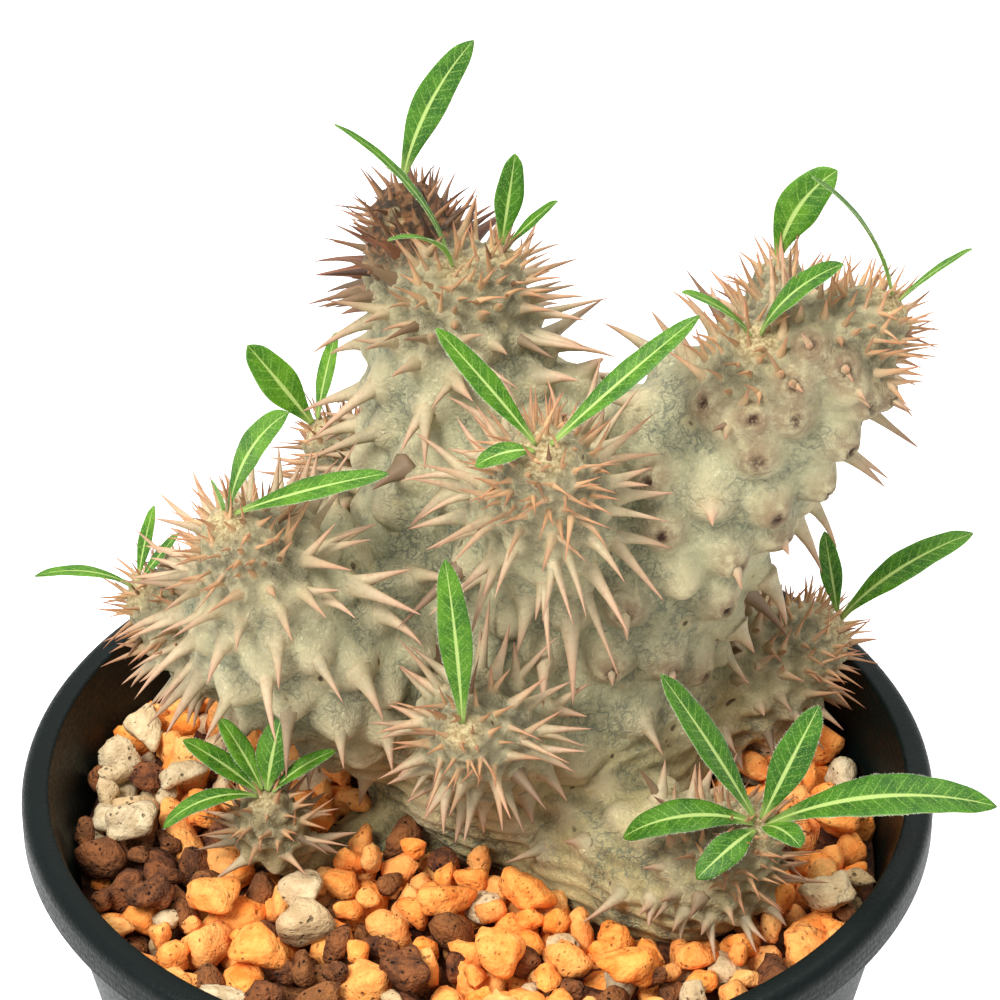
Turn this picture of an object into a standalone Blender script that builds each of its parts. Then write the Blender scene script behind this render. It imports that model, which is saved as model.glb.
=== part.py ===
"""Potted pachypodium: a branching, spiny caudex and its leaves, growing in a gritty mix in a round nursery pot.

Metres, +Z up, the front towards -Y. The origin is the middle of the pot's foot, on the surface it stands on.
Run it with: blender --background --python part.py
"""

import math
import random

import bmesh
import bpy
from mathutils import Matrix, Vector
from mathutils.bvhtree import BVHTree

MM = 0.001
DEG = math.pi / 180

# ---------------------------------------------------------------- driving dimensions

# Pot
RIM_DIAMETER = 120 * MM
RIM_WIDTH = 3.7 * MM
RIM_DEPTH = 5.6 * MM
RIM_ROUND = 1.8 * MM
EDGE_ROUND = 0.6 * MM
POT_HEIGHT = 100 * MM
FOOT_DIAMETER = 74 * MM
WALL = 1.7 * MM
FLOOR = 2.4 * MM
FOOT_RING_WIDTH = 8 * MM
CENTRE_PAD_DIAMETER = 30 * MM
CHANNEL_DEPTH = 2.0 * MM
DRAIN_DIAMETER = 7 * MM
DRAIN_COUNT = 6
NOTCH_WIDTH = 6 * MM
POT_SEGMENTS = 54

# Potting mix
HEADSPACE = 10 * MM
MIX_GAP = 0.4 * MM
MIX_RINGS = 17
GRAIN_BUMP = 1.1 * MM
GRAIN_PITCH = 7 * MM

# Caudex
PATH_STEP = 3 * MM
TUBE_SIDES = 14
SKIN_VOXEL = 2.0 * MM
SKIN_SMOOTHING = 5
SKIN_SHARE_KEPT = 0.15
SOCKET_GAP = 0.8 * MM

# Spines: the stout ones of the body hang, those of the crowns stand out; they crowd where a branch is thin
SPINE_PITCH = 12 * MM
CROWN_SPINE_PITCH = 5.6 * MM
STOUT_RADIUS = 17 * MM
SPINE_LENGTH = 9.5 * MM
SPINE_BASE_RADIUS = 1.5 * MM
CROWN_SPINE_BASE_RADIUS = 0.8 * MM
SPINE_ROOT = 1.4 * MM
SPINE_DROOP = 0.45
SPINE_CLEARANCE = 1.2 * MM
CROWN_RING_COUNT = 7
GOLDEN_ANGLE = 137.5 * DEG

# Leaves
LEAF_THICKNESS = 0.9 * MM
LEAF_RINGS = 9
LEAF_GAP = 0.45 * MM
LEAF_BASE_SPREAD = 1.3 * MM
LEAF_BASE_SHARE = 0.18
LEAF_WIDEST_AT = 0.6

# Loose stones lying on the mix
STONE_GAP = 0.35 * MM

# Each branch is a run of (x, y, z, radius) in millimetres from inside the caudex to its growing tip. They are
# drawn for a mouth and a mix level of the sizes below: the plant grows with the mouth and stands on the mix.
# The steps, voxels, pitches and spines above are for that mouth too.
MOUTH_RADIUS_OF_THE_RUNS = 56.3 * MM
MIX_LEVEL_OF_THE_RUNS = 90
BRANCHES = {
    "trunk": [(8, 18, 76, 9), (8, 18, 82, 20), (8, 18, 91, 25), (7, 18, 106, 26), (5, 18, 122, 22), (3, 19, 134, 17)],
    "left": [(-4, 14, 104, 15), (-14, 8, 113, 15.5), (-24, 1, 123, 13), (-27, -4, 133, 9), (-29.5, -6.5, 140, 5)],
    "far_left": [(-14, 14, 104, 12), (-28, 11, 111, 9.5), (-37, 9, 116.5, 7), (-41.5, 8, 120.5, 4.5)],
    "back_left": [(-2, 28, 114, 11), (-12, 31, 120, 9), (-17, 32, 126.5, 6.5), (-19.5, 32, 129.5, 4.2)],
    "top_left": [(2, 20, 122, 19), (-1, 21, 138, 13.5), (-2.8, 21, 151, 10.8), (-3.5, 21.5, 158, 8.5)],
    "top_left_back": [(-4.5, 24, 152, 8), (-7.3, 26, 161, 7), (-8.8, 28, 166.5, 5)],
    "top_left_front": [(-3.5, 20, 154, 8), (-3.2, 18.5, 159.5, 6), (-3, 18, 162, 4)],
    "top_left_side": [(-1, 21, 153, 8.5), (1.2, 20.3, 160, 6), (2.2, 20, 163.5, 4)],
    "top_right": [(14, 15, 118, 19), (24, 11.5, 133, 15), (33, 9.5, 145.5, 12.2), (40, 8, 154.5, 10), (46, 8, 159.5, 7.8),
                  (48.7, 8, 162.3, 5.4)],
    "top_right_front": [(33, 9, 147, 9.5), (34.3, 7, 155, 7), (34.6, 5.5, 159, 4.6)],
    "top_right_back": [(39, 11, 154, 7.5), (39, 16, 159, 5.6), (38.6, 18.5, 161.5, 4.2)],
    "centre": [(6, 12, 126, 15), (8, 4, 136, 11), (8.6, -4, 144, 8.6), (8.3, -9, 152, 5.6)],
    "front": [(3, 2, 106, 11), (0.5, -10, 113, 7.5), (-0.8, -16, 117, 6), (-1.2, -18, 118.5, 4)],
    "right_back": [(18, 19, 98, 14), (30, 19.5, 99.5, 10.5), (39, 19, 102, 8.5), (44.7, 19, 106.5, 5.5)],
    "lower_right": [(12, 4, 88, 13), (20, -9, 91.5, 10.5), (29, -17, 96, 8.8), (33.3, -21, 103.5, 5.6)],
    "lower_left": [(-6, 8, 84, 8), (-19, -3, 86, 4.5), (-25, -8, 92, 3.4), (-26.8, -11, 98, 4.6), (-27, -12, 101.5, 3.6)],
}

# Leaves of each crown: azimuth from +X towards +Y, rise above level, length, width, and how far the blade
# arches back, sweeps sideways and rolls about its own length. Angles in degrees, lengths in millimetres for a
# mouth of the size above.
LEAVES = {
    "top_left_back": [(10, 80, 22.5, 4.6, 5, -26, 80)],
    "top_left_front": [(-165, 78, 25.5, 2.6, 42, 0, 0), (-115, 72, 13.5, 2.4, 64, -25, 0)],
    "top_left_side": [(50, 76, 12, 3.8, 5, 0, 30), (-15, 54, 10, 2.6, 10, 0, 20)],
    "top_right_front": [(-165, 56, 12, 3.6, 30, 0, 20), (-25, 72, 15, 5.2, 45, 0, 0)],
    "top_right_back": [(70, 78, 14.5, 5.6, 10, -46, 80)],
    "top_right": [(-155, 80, 22, 2.6, 40, 0, 0), (-14, 50, 12, 2.8, 10, 0, 20)],
    "centre": [(165, 52, 19, 3.8, 8, 0, 0), (16, 42, 24, 3.8, 8, 0, 0), (-150, 30, 8, 3.2, 70, 0, 0)],
    "left": [(25, 82, 19.5, 4.3, 12, -40, 0), (-140, 75, 6, 1.8, 5, 0, 0), (-4, 26, 20, 4.2, 22, 8, 0)],
    "back_left": [(172, 55, 14, 5.2, 10, 0, -40), (66, 66, 12, 3.6, 8, 0, 0)],
    "far_left": [(-168, 44, 13.5, 2.6, 52, 0, 0), (60, 70, 10, 2.2, 10, 0, 20), (-15, 58, 10, 2.2, 5, 0, 20)],
    "front": [(102, 80, 22, 4.2, 6, 6, 0)],
    "lower_left": [
        (170, 46, 12, 3.8, 22, 0, 0),
        (-158, 34, 14, 3.2, 85, 0, 0),
        (142, 62, 11, 3.2, 30, 0, 0),
        (60, 78, 10, 4.6, 25, 0, 0),
        (10, 52, 10, 2.8, 40, 0, 0),
    ],
    "lower_right": [
        (160, 60, 23, 5.4, 8, 0, 0),
        (-165, 36, 18, 5.2, 84, 0, 0),
        (22, 66, 17, 4.8, 8, 0, 0),
        (-6, 36, 30, 7.4, 52, 0, -15),
        (-50, 45, 8, 4.6, 60, 0, 0),
        (-122, 20, 11, 4.2, 70, 0, 0),
    ],
    "right_back": [(135, 76, 12, 3.0, 5, 0, -65), (-12, 60, 22, 5.0, 45, 0, 80)],
}

# Loose stones: x, y, half lengths along x, y and z, and the turn about z, in degrees and in millimetres for a
# mouth of the size above.
PUMICE_STONES = [
    (-23, -17, 3.0, 4.2, 2.7, 15),
    (-39.5, 7, 3.6, 2.6, 2.2, 25),
    (-46, 17, 2.8, 3.6, 2.6, -20),
    (-45.5, -4, 3.6, 3.5, 3.0, 40),
    (45, -18, 4.0, 3.2, 2.6, 20),
]
AKADAMA_STONES = [
    (6.5, -17.5, 3.9, 3.9, 2.8, 30),
    (-4, -19, 4.0, 3.4, 2.7, -10),
    (3, -31, 3.8, 3.4, 2.7, 60),
    (19, -33, 4.4, 2.9, 2.6, 5),
    (-34, -19, 3.6, 3.3, 2.7, 20),
    (-27.5, -29, 4.3, 2.9, 2.4, -25),
    (47, -2.5, 3.9, 3.0, 2.7, 15),
]
LATERITE_STONES = [
    (-42, -19, 3.3, 3.0, 2.6, -20),
    (-9, -33.5, 3.5, 3.2, 2.4, 50),
]

COLOURS = {
    "black_plastic": ((0.018, 0.026, 0.026), 0.55),
    "potting_mix": ((0.10, 0.05, 0.025), 0.95),
    "bark": ((0.36, 0.35, 0.26), 0.8),
    "leaf_green": ((0.07, 0.24, 0.03), 0.5),
    "pumice": ((0.56, 0.50, 0.38), 0.95),
    "akadama": ((0.75, 0.30, 0.07), 0.95),
    "laterite": ((0.13, 0.05, 0.025), 0.95),
}

rim_radius = RIM_DIAMETER / 2
mouth_radius = rim_radius - RIM_WIDTH
foot_radius = FOOT_DIAMETER / 2
mix_level = POT_HEIGHT - HEADSPACE
plant_scale = mouth_radius / MOUTH_RADIUS_OF_THE_RUNS
plant_mm = MM * plant_scale
stout_radius = STOUT_RADIUS * plant_scale


# ---------------------------------------------------------------- helpers


def clear_scene():
    for obj in list(bpy.data.objects):
        bpy.data.objects.remove(obj)


def material(name):
    """The Principled material of one of the COLOURS, made once."""
    found = bpy.data.materials.get(name)
    if found:
        return found
    colour, roughness = COLOURS[name]
    made = bpy.data.materials.new(name)
    made.use_nodes = True
    shader = made.node_tree.nodes["Principled BSDF"]
    shader.inputs["Base Color"].default_value = (*colour, 1)
    shader.inputs["Roughness"].default_value = roughness
    shader.inputs["Metallic"].default_value = 0
    return made


def add_object(name, mesh, material_name, parent=None):
    obj = bpy.data.objects.new(name, mesh)
    obj.data.materials.append(material(material_name))
    bpy.context.scene.collection.objects.link(obj)
    obj.parent = parent
    return obj


def mesh_from(bm, name):
    bmesh.ops.recalc_face_normals(bm, faces=bm.faces)
    mesh = bpy.data.meshes.new(name)
    bm.to_mesh(mesh)
    bm.free()
    return mesh


def as_cutter(obj):
    obj.hide_render = True
    obj.display_type = "WIRE"
    return obj


def add_boolean(obj, other, operation):
    modifier = obj.modifiers.new(f"{operation.lower()}_{other.name}", "BOOLEAN")
    modifier.operation = operation
    modifier.solver = "EXACT"
    modifier.object = other
    return modifier


def blend(low, high, share):
    return low + (high - low) * max(0.0, min(1.0, share))


def arc(centre_x, centre_z, radius, start, end, steps):
    """Points (x, z) along an arc, from one angle to another in degrees."""
    angles = [start + (end - start) * i / steps for i in range(steps + 1)]
    return [(centre_x + radius * math.cos(a * DEG), centre_z + radius * math.sin(a * DEG)) for a in angles]


def surface_of(obj):
    """A BVH tree of the object as its modifiers leave it."""
    bpy.context.view_layer.update()
    return BVHTree.FromObject(obj, bpy.context.evaluated_depsgraph_get())


# ---------------------------------------------------------------- pot


def inner_radius(z):
    """The inside radius of the tapered wall at height z."""
    foot_inside = foot_radius - WALL
    share = (z - FLOOR) / (POT_HEIGHT - FLOOR)
    return foot_inside + (mouth_radius - foot_inside) * share


def pot_profile():
    """The pot's half section, from the middle of the floor, up the inside, over the rim and down the outside."""
    skirt_bottom = POT_HEIGHT - RIM_DEPTH
    pad_radius = CENTRE_PAD_DIAMETER / 2
    ring_inside = foot_radius - FOOT_RING_WIDTH
    floor_top = FLOOR + CHANNEL_DEPTH
    points = [(0, floor_top), (inner_radius(floor_top), floor_top)]
    points += arc(mouth_radius + EDGE_ROUND, POT_HEIGHT - EDGE_ROUND, EDGE_ROUND, 180, 90, 2)
    points += arc(rim_radius - RIM_ROUND, POT_HEIGHT - RIM_ROUND, RIM_ROUND, 90, 0, 4)
    points += arc(rim_radius - EDGE_ROUND, skirt_bottom + EDGE_ROUND, EDGE_ROUND, 0, -90, 2)
    points += [(inner_radius(skirt_bottom) + WALL, skirt_bottom), (foot_radius, EDGE_ROUND)]
    points += [(foot_radius - EDGE_ROUND, 0), (ring_inside, 0), (ring_inside, CHANNEL_DEPTH)]
    points += [(pad_radius, CHANNEL_DEPTH), (pad_radius, 0), (0, 0)]
    return points


def drain_cutter(parent):
    """Round drain holes through the floor of the channel, and notches that let water out under the foot ring."""
    bm = bmesh.new()
    channel_middle = (CENTRE_PAD_DIAMETER / 2 + foot_radius - FOOT_RING_WIDTH) / 2
    for i in range(DRAIN_COUNT):
        turn = Matrix.Rotation(2 * math.pi * (i + 0.5) / DRAIN_COUNT, 4, "Z")
        hole = Matrix.Translation((channel_middle, 0, FLOOR))
        bmesh.ops.create_cone(
            bm,
            cap_ends=True,
            segments=16,
            radius1=DRAIN_DIAMETER / 2,
            radius2=DRAIN_DIAMETER / 2,
            depth=4 * (FLOOR + CHANNEL_DEPTH),
            matrix=turn @ hole,
        )
        notch_turn = Matrix.Rotation(2 * math.pi * i / DRAIN_COUNT, 4, "Z")
        notch = Matrix.Translation((foot_radius - FOOT_RING_WIDTH / 2, 0, 0))
        size = Matrix.Diagonal((2 * FOOT_RING_WIDTH, NOTCH_WIDTH, 1.6 * CHANNEL_DEPTH, 1))
        bmesh.ops.create_cube(bm, size=1, matrix=notch_turn @ notch @ size)
    return as_cutter(add_object("drain_cutter", mesh_from(bm, "drain_cutter"), "black_plastic", parent))


def make_pot(parent):
    mesh = bpy.data.meshes.new("pot")
    points = pot_profile()
    mesh.from_pydata([(x, 0, z) for x, z in points], [(i, i + 1) for i in range(len(points) - 1)], [])
    pot = add_object("pot", mesh, "black_plastic", parent)
    turned = pot.modifiers.new("turned", "SCREW")
    turned.steps = turned.render_steps = POT_SEGMENTS
    turned.use_merge_vertices = True
    turned.merge_threshold = 0.00001
    turned.use_smooth_shade = True
    add_boolean(pot, drain_cutter(parent), "DIFFERENCE")
    return pot


# ---------------------------------------------------------------- caudex


def lifted(run):
    """A branch's run as (point, radius) pairs in metres, standing on the mix."""
    from_mix = [(x, y, z - MIX_LEVEL_OF_THE_RUNS, r) for x, y, z, r in run]
    return [(Vector((x, y, z)) * plant_mm + Vector((0, 0, mix_level)), r * plant_mm) for x, y, z, r in from_mix]


def smooth_run(run):
    """The run as closely spaced (point, radius) pairs on a Catmull-Rom curve through its points."""
    known = lifted(run)
    points = [known[0], *known, known[-1]]
    found = []
    for before, start, end, after in zip(points, points[1:], points[2:], points[3:]):
        steps = max(1, round((end[0] - start[0]).length / (PATH_STEP * plant_scale)))
        for i in range(steps):
            t = i / steps
            weights = (
                (-t + 2 * t**2 - t**3) / 2,
                (2 - 5 * t**2 + 3 * t**3) / 2,
                (t + 4 * t**2 - 3 * t**3) / 2,
                (-(t**2) + t**3) / 2,
            )
            four = (before, start, end, after)
            point = sum((w * p for w, (p, _) in zip(weights, four)), Vector())
            found.append((point, sum(w * r for w, (_, r) in zip(weights, four))))
    return [*found, known[-1]]


def add_tube(bm, run, grown):
    """A closed round tube along the run, with a dome on each end and every radius grown by that much."""
    path = smooth_run(run)
    first, last = path[0], path[-1]
    start_dir = (path[1][0] - first[0]).normalized()
    end_dir = (last[0] - path[-2][0]).normalized()
    dome = [(math.sin(a * DEG), math.cos(a * DEG)) for a in (30, 60)]
    stations = [(first[0] - start_dir * c * (first[1] + grown), s * (first[1] + grown)) for s, c in dome]
    stations += [(p, r + grown) for p, r in path]
    stations += [(last[0] + end_dir * c * (last[1] + grown), s * (last[1] + grown)) for s, c in reversed(dome)]
    rings = []
    across = start_dir.orthogonal().normalized()
    for i, (centre, radius) in enumerate(stations):
        ahead = stations[min(i + 1, len(stations) - 1)][0] - stations[max(i - 1, 0)][0]
        ahead.normalize()
        across = (across - ahead * across.dot(ahead)).normalized()
        other = ahead.cross(across)
        angles = [2 * math.pi * k / TUBE_SIDES for k in range(TUBE_SIDES)]
        rings.append([bm.verts.new(centre + radius * (across * math.cos(a) + other * math.sin(a))) for a in angles])
    for ring, following in zip(rings, rings[1:]):
        for k in range(TUBE_SIDES):
            after = (k + 1) % TUBE_SIDES
            bm.faces.new((ring[k], ring[after], following[after], following[k]))
    start_pole = bm.verts.new(first[0] - start_dir * (first[1] + grown))
    end_pole = bm.verts.new(last[0] + end_dir * (last[1] + grown))
    for k in range(TUBE_SIDES):
        after = (k + 1) % TUBE_SIDES
        bm.faces.new((start_pole, rings[0][after], rings[0][k]))
        bm.faces.new((end_pole, rings[-1][k], rings[-1][after]))


def make_skin(name, parent, grown=0.0):
    """All branches as tubes, remeshed into one body and smoothed so that they flow into each other."""
    bm = bmesh.new()
    for run in BRANCHES.values():
        add_tube(bm, run, grown)
    skin = add_object(name, mesh_from(bm, name), "bark", parent)
    joined = skin.modifiers.new("joined", "REMESH")
    joined.mode = "VOXEL"
    joined.voxel_size = SKIN_VOXEL * plant_scale
    joined.use_smooth_shade = True
    flowing = skin.modifiers.new("flowing", "SMOOTH")
    flowing.factor = 0.5
    flowing.iterations = SKIN_SMOOTHING
    lighter = skin.modifiers.new("lighter", "DECIMATE")
    lighter.ratio = SKIN_SHARE_KEPT
    return skin


def crown_frames(surface):
    """The apex of each branch's growing tip on the skin, and the way the tip points, by name."""
    frames = {}
    for name, run in BRANCHES.items():
        (before, _), (tip, radius) = lifted(run)[-2:]
        outward = (tip - before).normalized()
        apex = surface.ray_cast(tip - outward * radius, outward)[0]
        frames[name] = (apex or tip + outward * radius, outward)
    return frames


# ---------------------------------------------------------------- leaves


def leaf_half_width(share, width):
    """Half of the blade's width at this share of its length: narrow at the base and blunt at the tip."""
    if share > LEAF_WIDEST_AT:
        return width / 2 * math.sqrt(1 - ((share - LEAF_WIDEST_AT) / (1.02 - LEAF_WIDEST_AT)) ** 2)
    return width / 2 * blend(LEAF_BASE_SHARE, 1, math.sin(math.pi / 2 * share / LEAF_WIDEST_AT) ** 1.2)


def leaf_stations(apex, outward, azimuth, rise, length, width, arch, sweep, roll):
    """Cross sections (centre, across, up, half width) along a blade that starts beside the crown's apex.

    Before its roll, the blade's upper face looks upwards and towards the line the crown points along.
    """
    level = Vector((math.cos(azimuth * DEG), math.sin(azimuth * DEG), 0))
    along = level * math.cos(rise * DEG) + Vector((0, 0, math.sin(rise * DEG)))
    over = Vector((0, 0, math.cos(rise * DEG))) - level * math.sin(rise * DEG)
    up = (over / 2 + outward - along * outward.dot(along)).normalized()
    up.rotate(Matrix.Rotation(roll * DEG, 3, along))
    sideways = along - outward * along.dot(outward)
    centre = apex + outward * (LEAF_GAP + LEAF_THICKNESS / 2) + sideways * LEAF_BASE_SPREAD * plant_scale
    step = length * plant_mm / (LEAF_RINGS - 1)
    found = []
    for i in range(LEAF_RINGS):
        across = along.cross(up)
        found.append((centre.copy(), across, up.copy(), leaf_half_width(i / (LEAF_RINGS - 1), width * plant_mm)))
        bend = Matrix.Rotation(-arch * DEG / (LEAF_RINGS - 1), 3, across)
        turn = Matrix.Rotation(sweep * DEG / (LEAF_RINGS - 1), 3, up)
        for vector in (along, up):
            vector.rotate(bend)
            vector.rotate(turn)
        centre += along * step
    return found


def make_leaf(name, stations, parent):
    """A blade with a lens section: two margins, and a ridge above and below along its midrib."""
    bm = bmesh.new()
    rings = []
    for centre, across, up, half in stations:
        ridge = min(LEAF_THICKNESS / 2, half * 0.8)
        corners = (centre + across * half, centre + up * ridge, centre - across * half, centre - up * ridge)
        rings.append([bm.verts.new(c) for c in corners])
    for ring, following in zip(rings, rings[1:]):
        for k in range(4):
            bm.faces.new((ring[k], ring[(k + 1) % 4], following[(k + 1) % 4], following[k]))
    bm.faces.new(rings[0])
    bm.faces.new(rings[-1])
    leaf = add_object(name, mesh_from(bm, name), "leaf_green", parent)
    leaf.data.shade_smooth()
    return leaf


def make_leaves(surface, parent):
    """Every leaf as its own object. Returns balls (centre, radius) that cover the blades."""
    frames = crown_frames(surface)
    covered = []
    for crown, leaves in LEAVES.items():
        apex, outward = frames[crown]
        for number, leaf in enumerate(leaves, 1):
            stations = leaf_stations(apex, outward, *leaf)
            make_leaf(f"leaf_{crown}_{number}", stations, parent)
            covered += [(centre, half) for centre, _, _, half in stations]
    return covered


# ---------------------------------------------------------------- spines


def spine_sites(run):
    """Where spines may grow: (axis point, branch radius, way the branch grows, way out) for each.

    They step round the branch by the golden angle, closer together the thinner the branch is,
    and a last ring stands round the growing tip.
    """
    path = smooth_run(run)
    turn = 0.0
    owed = 0.0
    sites = []
    for (start, radius), (end, _) in zip(path, path[1:]):
        ahead = (end - start).normalized()
        across = ahead.orthogonal().normalized()
        pitch = blend(CROWN_SPINE_PITCH, SPINE_PITCH, radius / stout_radius) * plant_scale
        owed += 2 * math.pi * radius * (end - start).length / pitch**2
        while owed >= 1:
            owed -= 1
            turn += GOLDEN_ANGLE
            outward = across * math.cos(turn) + ahead.cross(across) * math.sin(turn)
            sites.append((start.lerp(end, 0.5), radius, ahead, outward))
    tip, radius = path[-1]
    for k in range(CROWN_RING_COUNT):
        turn = 2 * math.pi * k / CROWN_RING_COUNT
        outward = across * math.cos(turn) + ahead.cross(across) * math.sin(turn)
        sites.append((tip, radius, ahead, (outward + 0.7 * ahead).normalized()))
    return sites


def stays_clear(root, tip, balls):
    """True if a spine keeps off the leaves and stones (the balls), the mix and the pot."""
    if tip.z < mix_level + 3 * MM:
        return False
    if tip.z < POT_HEIGHT + 2 * MM and tip.xy.length > inner_radius(min(tip.z, POT_HEIGHT)) - 1.5 * MM:
        return False
    points = [root.lerp(tip, share) for share in (0, 0.2, 0.4, 0.6, 0.8, 1)]
    return all((point - centre).length > radius + SPINE_CLEARANCE for centre, radius in balls for point in points)


def make_spines(surface, balls, parent):
    """Thorns standing on the skin, as one helper that is joined to it."""
    rng = random.Random(7)
    bm = bmesh.new()
    kept = []
    for run in BRANCHES.values():
        for axis_point, radius, ahead, outward in spine_sites(run):
            hit, normal, _, distance = surface.ray_cast(axis_point, outward, 3 * radius)
            if hit is None or not 0.6 * radius < distance < 1.35 * radius or hit.z < mix_level + 4 * MM:
                continue
            stoutness = radius / stout_radius
            hang = Vector((0, 0, -blend(0, SPINE_DROOP, stoutness)))
            along = (normal + hang + ahead * rng.uniform(-0.1, 0.2)).normalized()
            tip = hit + along * SPINE_LENGTH * plant_scale * rng.uniform(0.75, 1.15)
            apart = 0.55 * blend(CROWN_SPINE_PITCH, SPINE_PITCH, stoutness) * plant_scale
            crowded = any((tip - t).length < 2 * plant_mm or (hit - h).length < apart for h, t in kept)
            if crowded or not stays_clear(hit, tip, balls):
                continue
            kept.append((hit.copy(), tip.copy()))
            base_radius = blend(CROWN_SPINE_BASE_RADIUS, SPINE_BASE_RADIUS, stoutness) * plant_scale
            across = along.orthogonal().normalized() * base_radius
            aside = along.cross(across)
            root = hit - normal * SPINE_ROOT * plant_scale
            corners = [bm.verts.new(root + offset) for offset in (across, aside, -across, -aside)]
            point = bm.verts.new(tip)
            bm.faces.new(corners[::-1])
            for k in range(4):
                bm.faces.new((corners[k], corners[(k + 1) % 4], point))
    return as_cutter(add_object("spines", mesh_from(bm, "spines"), "bark", parent))


# ---------------------------------------------------------------- mix and stones


def grain_height(x, y, grains):
    """How far the nearest grain's rounded top stands above or below the level of the mix."""
    nearest = min((Vector((x, y)) - Vector(g)).length for g in grains)
    return GRAIN_BUMP * (1 - 2 * min(1.0, nearest / (0.6 * GRAIN_PITCH)) ** 2)


def mix_mesh():
    """The body of the mix: it follows the pot's inside, and its top is a field of rounded grains."""
    rng = random.Random(11)
    top_radius = inner_radius(mix_level) - MIX_GAP
    rows = round(2 * top_radius / GRAIN_PITCH) + 1
    offsets = [(i - rows / 2) * GRAIN_PITCH for i in range(rows + 1)]
    grains = [(x + rng.uniform(-1, 1) * MM, y + rng.uniform(-1, 1) * MM) for x in offsets for y in offsets]
    bm = bmesh.new()
    angles = [2 * math.pi * k / POT_SEGMENTS for k in range(POT_SEGMENTS)]
    rings = []
    for i in range(1, MIX_RINGS + 1):
        radius = top_radius * i / MIX_RINGS
        flat = [(radius * math.cos(a), radius * math.sin(a)) for a in angles]
        lift = 0 if i == MIX_RINGS else 1
        rings.append([bm.verts.new((x, y, mix_level + lift * grain_height(x, y, grains))) for x, y in flat])
    floor_top = FLOOR + CHANNEL_DEPTH + MIX_GAP
    floor_radius = inner_radius(floor_top) - MIX_GAP
    rings.append([bm.verts.new((floor_radius * math.cos(a), floor_radius * math.sin(a), floor_top)) for a in angles])
    middle = bm.verts.new((0, 0, mix_level))
    for k in range(POT_SEGMENTS):
        bm.faces.new((middle, rings[0][k], rings[0][(k + 1) % POT_SEGMENTS]))
    for ring, following in zip(rings, rings[1:]):
        for k in range(POT_SEGMENTS):
            after = (k + 1) % POT_SEGMENTS
            bm.faces.new((ring[k], following[k], following[after], ring[after]))
    bm.faces.new(rings[-1])
    return mesh_from(bm, "potting_mix")


def make_mix(parent):
    mix = add_object("potting_mix", mix_mesh(), "potting_mix", parent)
    socket = as_cutter(make_skin("caudex_socket", parent, SOCKET_GAP))
    add_boolean(mix, socket, "DIFFERENCE")
    return mix


def make_stone(name, material_name, stone, ground, rng, parent):
    """An irregular rounded stone, set down so that its lowest point just clears the grains under it."""
    x, y, half_x, half_y, half_z, turn = stone
    bm = bmesh.new()
    bmesh.ops.create_icosphere(bm, subdivisions=2, radius=plant_mm)
    for vert in bm.verts:
        vert.co *= rng.uniform(0.9, 1.06)
    shape = Matrix.Rotation(turn * DEG, 4, "Z") @ Matrix.Diagonal((half_x, half_y, half_z, 1))
    bm.transform(shape)
    depths = []
    for vert in bm.verts:
        above = Vector((x * plant_mm + vert.co.x, y * plant_mm + vert.co.y, POT_HEIGHT))
        hit = ground.ray_cast(above, Vector((0, 0, -1)))[0]
        if hit is not None:
            depths.append(hit.z - vert.co.z)
    middle = Vector((x * plant_mm, y * plant_mm, max(depths) + STONE_GAP))
    bm.transform(Matrix.Translation(middle))
    add_object(name, mesh_from(bm, name), material_name, parent)
    return middle, 1.1 * max(half_x, half_y, half_z) * plant_mm


def make_stones(mix, parent):
    """Every loose stone as its own object. Returns balls (centre, radius) that cover them."""
    ground = surface_of(mix)
    rng = random.Random(5)
    covered = []
    kinds = (("pumice", PUMICE_STONES), ("akadama", AKADAMA_STONES), ("laterite", LATERITE_STONES))
    for kind, stones in kinds:
        for number, stone in enumerate(stones, 1):
            covered.append(make_stone(f"{kind}_{number}", kind, stone, ground, rng, parent))
    return covered


# ---------------------------------------------------------------- the whole object


def main():
    clear_scene()
    root = bpy.data.objects.new("potted_pachypodium", None)
    bpy.context.scene.collection.objects.link(root)
    make_pot(root)
    mix = make_mix(root)
    caudex = make_skin("caudex", root)
    surface = surface_of(caudex)
    balls = make_stones(mix, root) + make_leaves(surface, root)
    add_boolean(caudex, make_spines(surface, balls, root), "UNION")


main()
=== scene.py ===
"""Looks of the potted pachypodium: skin, thorns, leaves, grit and pot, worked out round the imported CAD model.

Metres, +Z up, the front towards -Y. Surfaces are numpy grids and tubes; each function says its formula.
"""

import itertools
import math

import bpy
import numpy as np
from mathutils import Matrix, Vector


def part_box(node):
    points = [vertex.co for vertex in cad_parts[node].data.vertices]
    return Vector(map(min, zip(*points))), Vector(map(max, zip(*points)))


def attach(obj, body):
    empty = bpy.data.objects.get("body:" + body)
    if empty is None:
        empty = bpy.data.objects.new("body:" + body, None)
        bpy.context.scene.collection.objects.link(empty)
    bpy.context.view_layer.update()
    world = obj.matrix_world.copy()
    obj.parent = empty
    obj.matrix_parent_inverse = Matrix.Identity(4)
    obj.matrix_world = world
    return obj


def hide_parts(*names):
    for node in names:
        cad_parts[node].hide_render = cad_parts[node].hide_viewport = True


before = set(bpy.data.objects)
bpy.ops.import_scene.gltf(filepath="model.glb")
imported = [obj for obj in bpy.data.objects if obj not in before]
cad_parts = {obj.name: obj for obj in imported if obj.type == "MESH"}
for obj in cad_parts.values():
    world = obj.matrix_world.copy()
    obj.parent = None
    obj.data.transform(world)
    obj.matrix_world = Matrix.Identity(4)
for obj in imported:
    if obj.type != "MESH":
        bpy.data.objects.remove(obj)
bpy.context.view_layer.update()

MM = 0.001
DEG = math.pi / 180

# ---------------------------------------------------------------- the pot's sizes

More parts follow.
